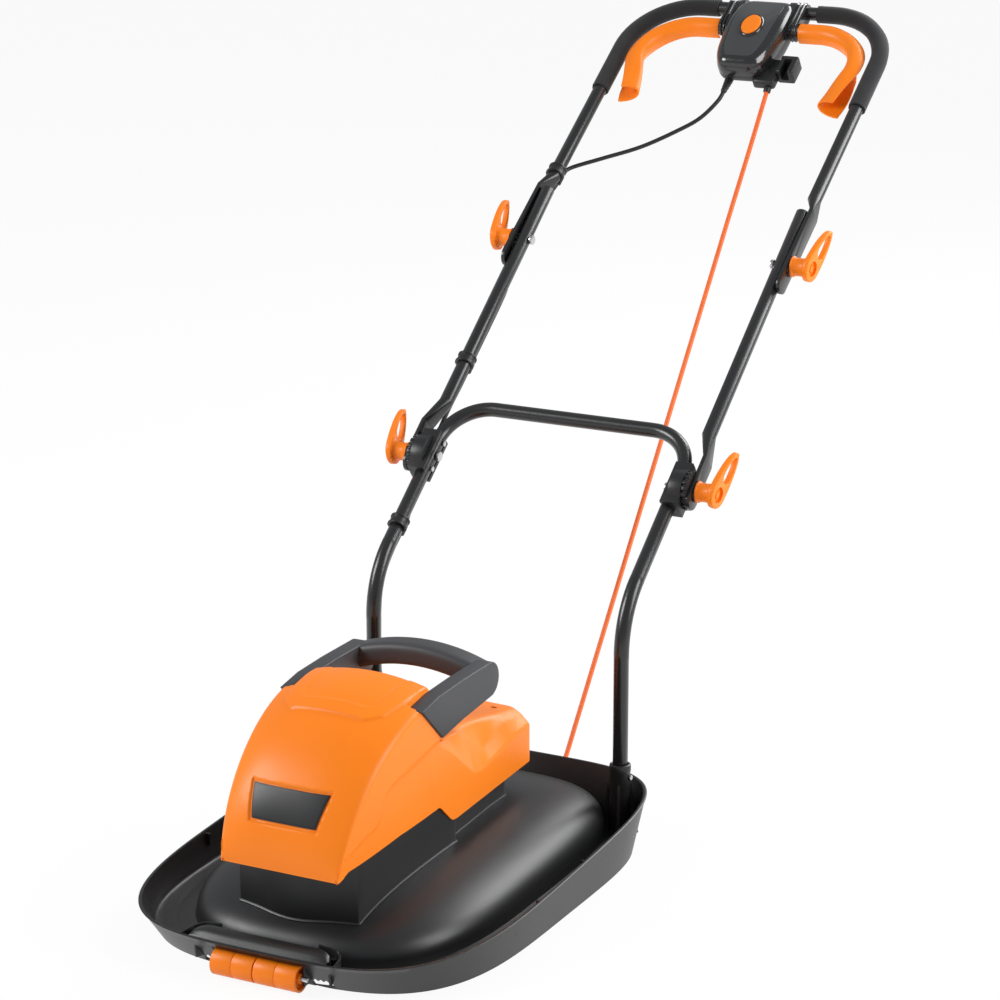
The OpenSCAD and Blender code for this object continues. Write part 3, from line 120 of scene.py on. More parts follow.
class Finish:
    """A material under construction: its nodes, and the shader they end in."""

    def __init__(self, name):
        self.material = bpy.data.materials.new(name)
        self.material.use_nodes = True
        self.tree = self.material.node_tree
        self.shader = self.tree.nodes["Principled BSDF"]
        self.place = self.node("ShaderNodeTexCoord", out="Object")

    def node(self, kind, settings=None, inputs=None, out=0):
        made = self.tree.nodes.new(kind)
        for key, value in (settings or {}).items():
            setattr(made, key, value)
        for key, value in (inputs or {}).items():
            self.feed(made.inputs[key], value)
        return Value(self, made.outputs[out])

    def feed(self, socket, value):
        if isinstance(value, Value):
            self.tree.links.new(value.socket, socket)
        elif isinstance(value, (tuple, list)):
            opaque = len(socket.default_value) == 4 and len(value) == 3
            socket.default_value = (*value, 1.0) if opaque else value
        else:
            socket.default_value = value

    def made(self, **inputs):
        """The material, with the shader's inputs set."""
        for key, value in inputs.items():
            self.feed(self.shader.inputs[key.replace("_", " ")], value)
        return self.material

    def noise(self, scale, detail=2.0, roughness=0.5, place=None):
        inputs = {"Vector": place or self.place, "Scale": scale, "Detail": detail, "Roughness": roughness}
        return self.node("ShaderNodeTexNoise", None, inputs)

    def stretched(self, scale, turn=(0.0, 0.0, 0.0)):
        return self.node("ShaderNodeMapping", None, {"Vector": self.place, "Rotation": turn, "Scale": scale})

    def mix(self, factor, first, second):
        return self.node("ShaderNodeMix", {"data_type": "RGBA"}, {0: factor, 6: first, 7: second}, out=2)

    def bump(self, height, strength, distance):
        return self.node("ShaderNodeBump", None, {"Height": height, "Strength": strength, "Distance": distance})


def shade(colour, factor):
    return tuple(min(1.0, c * factor) for c in colour)


def moulded_plastic(name, colour, rough, grain=900.0, depth=0.00004, strength=0.35, coat=0.0, specular=0.5,
                    marks=0.25):
    """Moulded plastic: spark-eroded grain, a slow drift of tone, rubbed places and fine scratches."""
    f = Finish(name)
    drift = f.noise(7.0, 3.0)
    fine = f.noise(grain, 2.0, 0.6)
    rubbed = f.noise(38.0, 5.0, 0.65).step(0.55, 0.8)
    slanted = f.stretched((1.0, 14.0, 5.0), (0.3, 0.5, 0.2))
    scratches = f.noise(90.0, 2.0, 0.5, slanted).step(0.66, 0.74)
    tone = f.mix(drift, shade(colour, 0.92), shade(colour, 1.06))
    return f.made(
        Base_Color=f.mix(scratches * (marks * 0.3), tone, shade(colour, 1.25)),
        Roughness=rough + (fine - 0.5) * 0.12 + rubbed * 0.05 - scratches * 0.06,
        Normal=f.bump(fine, strength, depth),
        Coat_Weight=coat, Coat_Roughness=0.12, Specular_IOR_Level=specular)


def painted_tube(name, colour):
    """Semi-gloss powder paint with an orange-peel skin."""
    f = Finish(name)
    peel = f.noise(420.0, 2.0)
    worn = f.noise(24.0, 4.0).step(0.6, 0.85)
    return f.made(
        Base_Color=f.mix(worn, colour, shade(colour, 1.35)),
        Roughness=0.3 + worn * 0.08 + (peel - 0.5) * 0.06,
        Normal=f.bump(peel, 0.16, 0.00006),
        Coat_Weight=0.25, Coat_Roughness=0.18, Specular_IOR_Level=0.5)


def foam_sleeve(name):
    """Closed-cell foam: small pores and a soft matt skin."""
    f = Finish(name)
    pores = f.node("ShaderNodeTexVoronoi", None, {"Vector": f.place, "Scale": 620.0})
    slow = f.noise(40.0, 3.0)
    return f.made(
        Base_Color=f.mix(slow, (0.012, 0.012, 0.013), (0.026, 0.026, 0.028)),
        Roughness=0.86 + (slow - 0.5) * 0.1,
        Normal=f.bump(pores + slow * 0.6, 0.5, 0.00025),
        Specular_IOR_Level=0.25, Sheen_Weight=0.15, Sheen_Roughness=0.5)


def bright_metal(name, colour=(0.62, 0.62, 0.64), rough=0.24):
    """Plated steel with fine turning marks."""
    f = Finish(name)
    turning = f.noise(1400.0, 2.0, 0.5, f.stretched((0.15, 1.0, 1.0)))
    spots = f.noise(160.0, 4.0).step(0.62, 0.85)
    return f.made(
        Base_Color=f.mix(spots, colour, shade(colour, 0.78)), Metallic=1.0,
        Roughness=rough + (turning - 0.5) * 0.16 + spots * 0.12,
        Normal=f.bump(turning, 0.12, 0.00004))


def cord_sheath(name, colour):
    """Smooth extruded sheath with a faint unevenness."""
    f = Finish(name)
    slow = f.noise(60.0, 3.0)
    fine = f.noise(1500.0, 1.0)
    return f.made(
        Base_Color=f.mix(slow, shade(colour, 0.9), shade(colour, 1.06)),
        Roughness=0.42 + (slow - 0.5) * 0.12,
        Normal=f.bump(fine + slow, 0.12, 0.00008), Specular_IOR_Level=0.45)


ORANGE = (0.97, 0.222, 0.006)
BLACK = (0.011, 0.0113, 0.012)
GREY = (0.045, 0.046, 0.05)
PAINT = (0.010, 0.0102, 0.0108)
FINISHES = {
    "orange_plastic": moulded_plastic("orange_moulding", ORANGE, 0.38, coat=0.03, specular=0.3),
    "black_plastic": moulded_plastic("black_moulding", BLACK, 0.39, grain=700.0, depth=0.00007, strength=0.5),
    "grey_plastic": moulded_plastic("grip_moulding", GREY, 0.5, grain=520.0, depth=0.0001, strength=0.5),
    "tube_paint": painted_tube("tube_paint", PAINT),
    "foam": foam_sleeve("foam_sleeve"),
    "bright_steel": bright_metal("plated_steel"),
    "motor_metal": bright_metal("motor_metal", (0.48, 0.45, 0.42), 0.38),
    "cord_orange": cord_sheath("orange_sheath", (0.9, 0.15, 0.02)),
    "cord_black": cord_sheath("black_sheath", (0.014, 0.014, 0.015)),
}
# Two finishes of the switch box, glossier than its slots'
GLOSS = moulded_plastic(
    "gloss_black", (0.012, 0.0122, 0.013), 0.17, grain=500.0, depth=0.00002, strength=0.2, coat=0.5, marks=0.4)
PANEL = moulded_plastic(
    "panel_face", (0.045, 0.046, 0.049), 0.26, grain=800.0, depth=0.00003, strength=0.3, coat=0.2, marks=0.4)


# Modelling helpers

def hold(piece):
    bpy.ops.object.select_all(action="DESELECT")
    piece.select_set(True)
    bpy.context.view_layer.objects.active = piece


def finished(piece, *names, finish=None):
    """A piece that stands for nodes, with their slot and the slot's finish or another."""
    slot = slot_of_node[names[0]]
    piece.data.materials.clear()
    piece.data.materials.append(finish or FINISHES[slot])
    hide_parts(*names)
    dressed.update(names)
    return piece


def fit(piece, *names, finish=None):
    """A finished piece that rides on its nodes' body."""
    finished(piece, *names, finish=finish)  # first: a cord finished after attach() gets too large a bounding box
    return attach(piece, body_of_node[names[0]])


def blank(name, shape, points=(), **settings):
    """A new piece from one of Blender's shapes, with its points moved where others are given."""
    shape(**settings)
    piece = bpy.context.object
    piece.name = name
    if points:
        piece.data.vertices.foreach_set("co", [c for p in points for c in p])
        piece.data.update()
    return piece


def edited(piece, operation, **settings):
    """Runs a mesh operation on all of a piece."""
    hold(piece)
    bpy.ops.object.mode_set(mode="EDIT")
    bpy.ops.mesh.select_all(action="SELECT")
    operation(**settings)
    bpy.ops.object.mode_set(mode="OBJECT")
    return piece


def modified(piece, kind, **settings):
    """Applies a modifier to a piece."""
    hold(piece)
    change = piece.modifiers.new("change", kind)
    for key, value in settings.items():
        setattr(change, key, value)
    bpy.ops.object.modifier_apply(modifier="change")
    return piece


def copy_of(node):
    """A merged copy of a solid's mesh, at the origin."""
    piece = bpy.data.objects.new(node + "_dressed", nodes[node].data.copy())
    scene.collection.objects.link(piece)
    edited(piece, bpy.ops.mesh.remove_doubles, threshold=0.000004)
    return edited(piece, bpy.ops.mesh.customdata_custom_splitnormals_clear)


def soften(piece, width=0.0, segments=2, angle=40.0, smooth=40.0):
    """Rounds the edges and smooths the faces."""
    if width:
        modified(piece, "BEVEL", width=width, segments=segments, limit_method="ANGLE", angle_limit=radians(angle))
    hold(piece)
    bpy.ops.object.shade_smooth_by_angle(angle=radians(smooth))
    return piece


def flatten_triangles(piece):
    """Joins triangles that lie in one plane, so that edges round evenly."""
    return edited(piece, bpy.ops.mesh.dissolve_limited, angle_limit=radians(0.6))


def dress(node, width, segments=2):
    """A solid's own shape with rounded edges and its finish."""
    return fit(soften(flatten_triangles(copy_of(node)), width, segments, 32.0, 38.0), node)


def polar(r, a, x=0, y=0):
    """A place at a distance and an angle from another."""
    return x + r * cos(a), y + r * sin(a)


def between(value, low, high):
    """0 below low, 1 above high, smooth between."""
    t = min(1.0, max(0.0, (value - low) / (high - low)))
    return t * t * (3 - 2 * t)


# Cords

def curve_through(points, steps):
    """Smooth line through points."""
    line = []
    for a, b, c, d in zip(points[:1] + points, points, points[1:], points[2:] + points[-1:]):
        for k in range(steps):
            t = k / steps
            slope, bend, turn = c - a, 2 * a - 5 * b + 4 * c - d, 3 * b - a - 3 * c + d
            line.append(0.5 * (2 * b + slope * t + bend * t ** 2 + turn * t ** 3))
    line.append(points[-1])
    return line


def length_of(points):
    return sum((b - a).length for a, b in zip(points, points[1:]))


def cord_along(name, points, diameter):
    data = bpy.data.curves.new(name, "CURVE")
    data.dimensions = "3D"
    data.bevel_depth = diameter / 2
    data.bevel_resolution = 3
    data.use_fill_caps = True
    spline = data.splines.new("POLY")
    spline.points.add(len(points) - 1)
    for point, place in zip(spline.points, points):
        point.co = (*place, 1.0)
    spline.use_smooth = True
    cord = bpy.data.objects.new(name, data)
    scene.collection.objects.link(cord)
    return cord


def tube_mesh(name, points, diameter):
    """A round tube along points, as a mesh."""
    cord = cord_along(name, points, diameter)
    hold(cord)
    bpy.ops.object.convert(target="MESH")
    bpy.ops.object.shade_smooth()
    return bpy.context.object


# Routes in millimetres: down from the switch box to the floor and round to the coil, and from the coil to the plug
CORD_ROUTE = [(45, 610, 844), (42, 554, 762)] + [(38 - 3.5 * k, 498 - 56 * k, 680 - 82 * k) for k in range(8)]
CORD_ROUTE += [
    (11.5, 73, 58), (10, 49, 23), (9.6, 40, 14), (9.4, 31, 9), (9.2, 20, 6), (9, 8, 5), (5, -11, 5), (-6, -27, 5),
    (-22, -38, 5), (-41, -42, 5), (-75, -42, 5), (-110, -42, 5), (-145, -42, 5), (-170, -42, 5)]
TAIL_ROUTE = [(-186, -42.3, 26), (-200, -47, 25), (-214, -55, 22.5), (-228, -61, 20), (-240, -62, 19)]
CORD_D = 0.0065
COIL_X = -170
COIL_Y = 37
COIL_Z = 5
COIL_R = 79.0
COIL_PITCH = 7.0
COIL_TURNS = 6
COIL_LAYERS = 4
COIL_CLIMB = 0.5
COIL_STEPS = 36


def coil_points():
    """Flat spirals, in and out by turns, that climb from layer to layer."""
    points = []
    for i in range(COIL_STEPS * COIL_TURNS * COIL_LAYERS + 1):
        u = i / COIL_STEPS
        k = int(u / COIL_TURNS)
        f = u - k * COIL_TURNS
        r = COIL_R - COIL_PITCH * (f if k % 2 == 0 else COIL_TURNS - f)
        lift = sum(between((u - layer * COIL_TURNS) / COIL_CLIMB + 0.5, 0, 1) for layer in range(1, COIL_LAYERS))
        a = radians(-90 - 360 * u)
        points.append(Vector((*polar(r, a, COIL_X, COIL_Y), COIL_Z + COIL_PITCH * lift)) * MM)
    return points


coil = coil_points()
mains_points = curve_through([Vector(p) * MM for p in CORD_ROUTE], 3)[:-1] + coil[:-1]
mains_points += curve_through([coil[-1]] + [Vector(p) * MM for p in TAIL_ROUTE], 4)
mains = fit(cord_along("mains_cord_run", mains_points, CORD_D), "mains_cord", "cord_coil")

# The lead's route: down the leg in the part's frame, and up the tubes in the frames of their joints
LEAD_TOP = [
    (-209, 18.5, 2), (-209, 18.2, 45), (-208.5, 18, 78), (-204.5, 17.6, 97), (-199, 16.2, 108),
    (-195.2, 14.25, 118), (-195, 14.1, 125), (-195, 14.1, 132), (-195, 14.1, 139), (-193.4, 14.6, 146),
    (-186, 17, 160.6), (-151, 22, 188), (-106, 28, 223.1), (-62, 28, 263.1), (-38, 24, 285.5), (-21, 17, 312.9),
    (-17, 13.3, 329.4), (-17, 13, 338.2), (-17, 13, 350)]
LEAD_MID = [
    (-198, 32, 2), (-197, 27, 40), (-193, 17, 86), (-190.4, 14.1, 130), (-190.4, 14.1, 160), (-190.4, 14.1, 290),
    (-199, 16.5, 312), (-208, 18.5, 330), (-209, 18.5, 352), (-209, 18.5, 376)]
LEAD_LOW = [
    (-198, 32, -2), (-194, 27, -34), (-183, 18, -68), (-176, 14.1, -94), (-176, 14.1, -112), (-176, 14.1, -128)]
LEAD_LEG = [
    (-176, -123, 235), (-176, -123, 165), (-167, -126, 136), (-152, -150, 114), (-134, -195, 104), (-127, -240, 99),
    (-120, -266, 98), (-109, -276, 98), (-99, -276, 98), (-90, -276, 98)]
LEAD_D = 0.006
LEG_BACK = 156
LEG_BEND_R = 110
LEAD_BEND_R = 95.9
LEAD_FLEX = 0.05


def motor_lead():
    """The lead: one length over each joint, and a slack length from the top clip to the switch box."""
    bend_s = LEG_BACK / sin(RAKE) - LEG_BEND_R * tan(RAKE / 2)
    bend = [(-LEG_X, LEG_BEND_R - LEAD_BEND_R * cos(a), -bend_s - LEAD_BEND_R * sin(a))
            for a in (RAKE * k / 3 for k in range(4))]
    low = [TO_MIDDLE @ (Vector(p) * MM) for p in LEAD_LOW + bend] + [Vector(p) * MM for p in LEAD_LEG]
    mid = [TO_MIDDLE @ (Vector(p) * MM) for p in LEAD_MID]
    top = [TO_UPPER @ (Vector(p) * MM) for p in LEAD_TOP]
    for node, points, pair, joint, rake in (
            ("lead_low", low[::-1] + mid[:5], ("deck", "middle_handle"), JOINT, RAKE),
            ("lead_mid", mid[4:] + top[:8], ("middle_handle", "top_handle"), UPPER_JOINT, UPPER_RAKE)):
        piece = tube_mesh("motor_" + node, curve_through(points, 6), LEAD_D)
        half = Vector((0, sin(rake), cos(rake))) * LEAD_FLEX
        joint - half
        joint + half
        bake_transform(piece)
        finished(piece, node)
    slack = curve_through(top[7:], 6)
    last = fit(cord_along("motor_lead_slack", slack, LEAD_D), "lead_top")
    length_of(slack)


motor_lead()

# Pieces on the cord
plug = dress("plug", 0.0015, 3)
tie = dress("coil_tie", 0.0004)
length_of(mains_points)


# Foam sleeves

FOAM_D = 0.025
FOAM_LOW = 302
FOAM_IN = 24


def foam_grip(node, side):
    """A sleeve along the tube, round its corner and a little way in along the bar."""
    bend_x, bend_s = UPPER_HW - UPPER_BEND_R, UPPER_L - UPPER_BEND_R
    points = [(UPPER_HW, FOAM_LOW + (bend_s - FOAM_LOW) * k / 8) for k in range(8)]
    points += [polar(UPPER_BEND_R, a, bend_x, bend_s) for a in map(radians, range(0, 90, 6))]
    points += [(bend_x - FOAM_IN * k / 3, UPPER_L) for k in range(4)]
    name = "foam_sleeve_" + ("left" if side > 0 else "right")
    piece = tube_mesh(name, [TO_UPPER @ (Vector((side * x, 0, along)) * MM) for x, along in points], FOAM_D)
    soften(piece, 0.0022, 3, 50.0, 45.0)
    fit(piece, node)


foam_grip("foam_grip_left", 1)
foam_grip("foam_grip_right", -1)


# Sheets and carving

def skin(name, rows, wall=0.0, flip=False, ring=False, loop=False, cap=False):
    """A sheet through rows of points, from a grid. ring joins a row's two ends, loop joins the last row to the
    first, cap closes the last row with one face, flip turns the faces round, and wall is a thickness that grows
    inwards."""
    if ring:
        rows = [list(row) + [row[0]] for row in rows]
    if loop:
        rows = list(rows) + [rows[0]]
    piece = blank(name, bpy.ops.mesh.primitive_grid_add, [p for row in rows for p in row],
                  x_subdivisions=len(rows[0]) - 1, y_subdivisions=len(rows) - 1, size=1)
    edited(piece, bpy.ops.mesh.remove_doubles, threshold=0.00001)
    if flip:
        edited(piece, bpy.ops.mesh.flip_normals)
    if cap:
        bpy.ops.object.mode_set(mode="EDIT")
        mesh = bmesh.from_edit_mesh(piece.data)
        mesh.faces.new([min(mesh.verts, key=lambda v: (v.co - p).length_squared) for p in rows[-1]])
        bmesh.update_edit_mesh(piece.data)
        bpy.ops.object.mode_set(mode="OBJECT")
    return modified(piece, "SOLIDIFY", thickness=wall, offset=-1) if wall else piece


def carve(piece, cutter):
    """Takes the cutter's shape out of a piece."""
    modified(piece, "BOOLEAN", operation="DIFFERENCE", solver="EXACT", object=cutter)
    bpy.data.objects.remove(cutter)
    return piece


def joined(piece, *others):
    hold(piece)
    for other in others:
        other.select_set(True)
    bpy.ops.object.join()
    return piece


def block(low, high):
    """A block between two corners."""
    low, high = (Vector([pick(a, b) for a, b in zip(low, high)]) for pick in (min, max))
    piece = blank("Cube", bpy.ops.mesh.primitive_cube_add, size=1, location=(low + high) / 2)
    piece.scale = high - low
    bpy.ops.object.transform_apply()
    return piece


def drill(at, radius, depth, turn=(0, 0, 0)):
    """A round bar about a place."""
    bpy.ops.mesh.primitive_cylinder_add(vertices=40, radius=radius, depth=depth, location=at, rotation=turn)
    bpy.ops.object.transform_apply()
    return bpy.context.object


def along_line(points, value):
    """Height of a line of points at a place along it."""
    if value <= points[0][0]:
        return points[0][1]
    for (a, p), (b, q) in zip(points, points[1:]):
        if value <= b:
            return p + (q - p) * (value - a) / (b - a)
    return points[-1][1]


def reach(points, x, y):
    """Distance from a place to a line of points."""
    best = 1e9
    for (ax, ay), (bx, by) in zip(points, points[1:]):
        dx, dy = bx - ax, by - ay
        t = min(1.0, max(0.0, ((x - ax) * dx + (y - ay) * dy) / (dx * dx + dy * dy)))
        best = min(best, hypot(x - ax - t * dx, y - ay - t * dy))
    return best


def corner_cut(a, b, c, radius):
    """Where a rounding of corner b starts, the corner itself, and where it ends."""
    a, b, c = Vector(a), Vector(b), Vector(c)
    r = min(radius, (a - b).length * 0.45, (c - b).length * 0.45)
    return b + (a - b).normalized() * r, b, b + (c - b).normalized() * r


def rounding(start, corner, end, t):
    """A place on the curve that rounds a corner."""
    return start.lerp(corner, t).lerp(corner.lerp(end, t), t)


def bowed(corners, radii, steps):
    """A line with rounded corners, with a number of steps in each curve and in each straight."""
    ends = [Vector(corners[0])]
    ends += [corner_cut(a, b, c, r) for a, b, c, r in zip(corners, corners[1:], corners[2:], radii)]
    ends.append(Vector(corners[-1]))
    line = []
    here = ends[0]
    for corner in ends[1:-1]:
        line += [here.lerp(corner[0], k / steps) for k in range(steps)]
        line += [rounding(*corner, k / steps) for k in range(steps)]
        here = corner[2]
    return line + [here.lerp(ends[-1], k / steps) for k in range(steps + 1)]


def rounded(corners, radii, steps, fill=1):
    """A closed outline with rounded corners, and a number of points on each straight."""
    count = len(corners)
    cuts = [corner_cut(corners[i - 1], corners[i], corners[(i + 1) % count], radii[i]) for i in range(count)]
    line = []
    for i, (p, b, q) in enumerate(cuts):
        line += [rounding(p, b, q, k / steps) for k in range(steps + 1)]
        far = cuts[(i + 1) % count][0]
        line += [q.lerp(far, k / (fill + 1)) for k in range(1, fill + 1)]
    return line


def shrunk(line, inset):
    """An outline moved inwards."""
    moved = []
    for i, p in enumerate(line):
        t = (line[(i + 1) % len(line)] - line[i - 1]).normalized()
        moved.append(p + Vector((-t.y, t.x)) * inset)
    return moved


def closed_skin(name, rows, loop=False):
    """A closed solid through rings of points."""
    piece = skin(name, rows, ring=True, loop=loop)
    return edited(piece, bpy.ops.mesh.normals_make_consistent)


def capped_skin(name, rings):
    """A closed solid through rings of points, its ends closed at the middle of the first and last ring."""
    first, last = ([sum(ring, Vector()) / len(ring)] * len(ring) for ring in (rings[0], rings[-1]))
    return closed_skin(name, [first] + rings + [last])


def circle(count):
    """The angles of points round a circle."""
    return [2 * pi * k / count for k in range(count)]


def both_sides(half):
    """A row from its left end to its right end, from the half on the right."""
    return [Vector((-p.x, p.y, p.z)) for p in reversed(half[1:])] + half


def plate(name, outline, place, thickness):
    """A flat plate: a round blank given an outline, then extruded. place turns outline points and a height into
    the frame."""
    piece = blank(name, bpy.ops.mesh.primitive_circle_add, [place(p.x, p.y, 0.0) for p in outline],
                  vertices=len(outline), radius=1, fill_type="NGON")
    move = place(0.0, 0.0, thickness) - place(0.0, 0.0, 0.0)
    edited(piece, bpy.ops.mesh.extrude_region_move, TRANSFORM_OT_translate={"value": move})
    return edited(piece, bpy.ops.mesh.normals_make_consistent)


def on_deck(x, y, z):
    return Vector((x * MM, y * MM + DECK_Y, z * MM))


def on_upper(x, s, h):
    """A place along the upper handle, at a height above its plane."""
    return TO_UPPER @ (Vector((x, -h, s)) * MM)


# Hood, in millimetres from the deck's middle. A plan is a half width, a reach to the front and a reach to the rear.
# Rim and foot are the skirt's upper and lower edge

RIM = (233, 321, 321)
FOOT = (223, 286, 298)
DOME = (186, 263, 309)
SKIRT_POWERS = (3.5, 5.2)
DOME_POWERS = (3, 4.2)
RIM_FRONT_H = 43
RIM_RISE = 32
DOME_H = 80
DOME_RISE = 26
TRAY_H = 12
DECK_WALL = 3
ROLLER_POCKET = (-60.7, -330, -4), (60.7, -288.2, 34.4)
NOTCH_IN = 59
NOTCH_OUT = 85
NOTCH_H = 12.5
NOTCH_TEETH = 3.5


def half_of(plan, powers, y):
    """The squareness and the reach of a plan's front or rear half."""
    return (powers[0], plan[1]) if y < 0 else (powers[1], plan[2])


def oval(plan, powers, inset, scale=1):
    """A ring round a plan."""
    plan = [scale * (v - inset) for v in plan]
    ring = []
    for a in circle(240):
        c, s = cos(a), sin(a)
        n, far = half_of(plan, powers, s)
        ring.append((plan[0] * copysign(abs(c) ** (2 / n), c), far * copysign(abs(s) ** (2 / n), s)))
    return ring


def rim_height(y):
    return RIM_FRONT_H + RIM_RISE * max(0.0, (y + RIM[1]) / (2 * RIM[1])) ** 1.3


def dome_height(rho, y):
    """Height of the dome at a share of the way out from its middle."""
    middle = DOME_H + DOME_RISE * y / (2 * RIM[1])
    return TRAY_H + (middle - TRAY_H) * max(0.0, 1 - rho ** 3) ** (1 / 3)


def dome_at(x, y):
    """Height of the dome's skin over a place on the deck."""
    n, far = half_of(DOME, DOME_POWERS, y)
    return dome_height(((abs(x) / DOME[0]) ** n + (abs(y) / far) ** n) ** (1 / n), y)


def skirt(inset):
    """Places on the foot, each with its place on the rim."""
    return zip(oval(FOOT, SKIRT_POWERS, inset), oval(RIM, SKIRT_POWERS, inset))


def toward(a, b, share, z):
    """A share of the way from one place on the plan to another, at a height."""
    return a[0] + (b[0] - a[0]) * share, a[1] + (b[1] - a[1]) * share, z


def skirt_line(inset, share):
    """A ring on the skirt: share 0 at the ground, 1 at the rim."""
    return [toward(a, b, share, rim_height(b[1]) * share) for a, b in skirt(inset)]


def floor_line(z):
    """A level ring on the skirt's inner face."""
    return [toward(a, b, z / rim_height(b[1]), z) for a, b in skirt(DECK_WALL)]


def dome_line(rho, drop):
    return [(x, y, dome_height(rho, y) - drop) for x, y in oval(DOME, DOME_POWERS, drop, rho)]


def hood():
    """One skin up the skirt, over a beaded rim, across the tray, over the dome and back underneath."""
    rings = [skirt_line(0, 0), skirt_line(0, 0.02)] + [skirt_line(0, k / 6) for k in range(1, 6)]
    rings += [skirt_line(inset, share) for inset, share in (
        (0, 0.955), (-0.9, 0.965), (-0.9, 0.99), (0, 1.0), (1.4, 1.006), (DECK_WALL, 1.0), (DECK_WALL, 0.97),
        (DECK_WALL, 0.8))]
    rings += [floor_line(TRAY_H + 6), floor_line(TRAY_H + 3)]
    tray = list(zip(floor_line(TRAY_H), dome_line(1, 0)))
    rings += [[toward(a, b, k, TRAY_H + lift) for a, b in tray]
              for k, lift in ((0.06, 0.6), (0.2, 0), (0.5, 0), (0.8, 0), (0.95, 0.5))]
    rhos = [1 - 0.58 * (k / 26) ** 2.2 for k in range(1, 27)] + [0.34, 0.27, 0.2]
    rings += [dome_line(r, 0) for r in rhos]
    rings += [dome_line(r, DECK_WALL) for r in reversed(rhos)]
    rings += [floor_line(TRAY_H - DECK_WALL), skirt_line(DECK_WALL, 0.0)]
    piece = skin("hood_moulding", [[on_deck(*p) for p in ring] for ring in rings], ring=True, loop=True)
    carve(piece, block(*(on_deck(*corner) for corner in ROLLER_POCKET)))
    for x in (-LEG_X, LEG_X):
        carve(piece, drill(on_deck(x, LEG_Y, 80), 0.0096, 0.06))
    teeth = [(NOTCH_IN, -4), (NOTCH_OUT, -4), (NOTCH_OUT, NOTCH_H - 1.5)]
    teeth += [(NOTCH_OUT - 24 * k / 32, NOTCH_H + 2.0 * cos(2 * pi * NOTCH_TEETH * k / 32)) for k in range(33)]
    teeth = [Vector(c) for c in teeth + [(NOTCH_IN, NOTCH_H - 0.5)]]
    for side in (1, -1):
        carve(piece, plate("notches", teeth, lambda x, z, h: on_deck(side * x, h - 330, z), 46.0))
    return piece


def rim_ribs():
    """Short upright ribs inside the rim, two on each side."""
    ribs = []
    for side in (-1, 1):
        for y in (-58, 61):
            top = rim_height(y) - 3
            ribs.append(block(on_deck(side * 229.6, y - 1.2, top - 15), on_deck(side * 223, y + 1.2, top)))
    return ribs


def leg_socket(side):
    """A collar round the leg's foot, with a swelled mouth and four ribs on the tray."""
    profile = [(9.65, 50), (9.65, 101), (11.5, 102), (13.2, 101), (13.6, 99), (13.6, 93), (13.0, 91.5), (13.4, 60),
               (14.0, 12)]
    rows = [[on_deck(*polar(r, a, side * LEG_X, LEG_Y), z) for r, z in profile] for a in circle(48)]
    collar = skin("leg_socket", rows, loop=True)
    ribs = []
    for turn in (20, 110, 200, 290):
        rib = block((-0.0018, 0.012, 0.011), (0.0018, 0.0235, 0.056))
        for v in rib.data.vertices:
            if v.co.z > 0.05 and v.co.y > 0.02:
                v.co += Vector((0, -0.0085, 0.022))
        foot = Matrix.Translation(on_deck(side * LEG_X, LEG_Y, 0))
        rib.data.transform(foot @ Matrix.Rotation(radians(turn), 4, "Z"))
        ribs.append(rib)
    return joined(collar, *ribs)


fit(soften(joined(hood(), leg_socket(1), leg_socket(-1), *rim_ribs())), "deck_hood")


# Roller fender

FENDER_HW = 90
FENDER_END = 24
FENCE_PATH = bowed([(64, -285.5), (84, -284.5), (96, -292), (100, -316)], [6, 9], 6)
CHEEK_CUT = [Vector(c) for c in ((-340, -5), (-280, -5), (-280, 9), (-312, 9), (-322, 30), (-340, 30))]


def fender():
    """A hood over the rollers that leaves the rim, swells up and comes down on the tray, with rounded ends."""
    rows = []
    for k in range(61):
        x = -FENDER_HW + 3 * k
        e = sqrt(max(0.0, 1 - (max(0.0, abs(x) - (FENDER_HW - FENDER_END)) / FENDER_END) ** 2))
        n = SKIRT_POWERS[0]
        front = 2.4 - RIM[1] * (1 - (abs(x) / RIM[0]) ** n) ** (1 / n)
        rim = rim_height(front)
        line = bowed([(front, rim - 3), (front + 1.5, rim + 0.8), (front + 6 + 3 * e, rim + 1 + 7.5 * e),
                      (front + 9 + 15 * e, rim + 1 + 9 * e), (front + 13 + 19 * e, 11.6)], [1.5, 7, 9], 7)
        rows.append([on_deck(x, p.x, p.y) for p in line])
    return soften(skin("roller_fender", rows, wall=0.0025, flip=True))


def fence(side):
    """A thin wall round one end of the fender, whose foot follows the leaning skirt."""
    count = len(FENCE_PATH) - 1
    rows = [[on_deck(side * q.x, q.y, max(11, 43 * (-q.y - 281) / 35)) for q in FENCE_PATH],
            [on_deck(side * q.x, q.y, 51 - 7 * k / count) for k, q in enumerate(FENCE_PATH)]]
    return soften(skin("fender_fence", rows, wall=0.0018, flip=side < 0), 0.0004)


def roller_fender():
    """The rollers' bracket, its cheeks trimmed to the skirt, under the fender and its fences."""
    bracket = flatten_triangles(copy_of("roller_bracket"))
    carve(bracket, plate("cheek_cut", CHEEK_CUT, lambda y, z, h: on_deck(h - 80, y, z), 160.0))
    soften(bracket, 0.0012, 3, 32.0, 38.0)
    fit(joined(bracket, fender(), fence(1), fence(-1)), "roller_bracket")


roller_fender()


# Motor housing, and the cover's lower edge

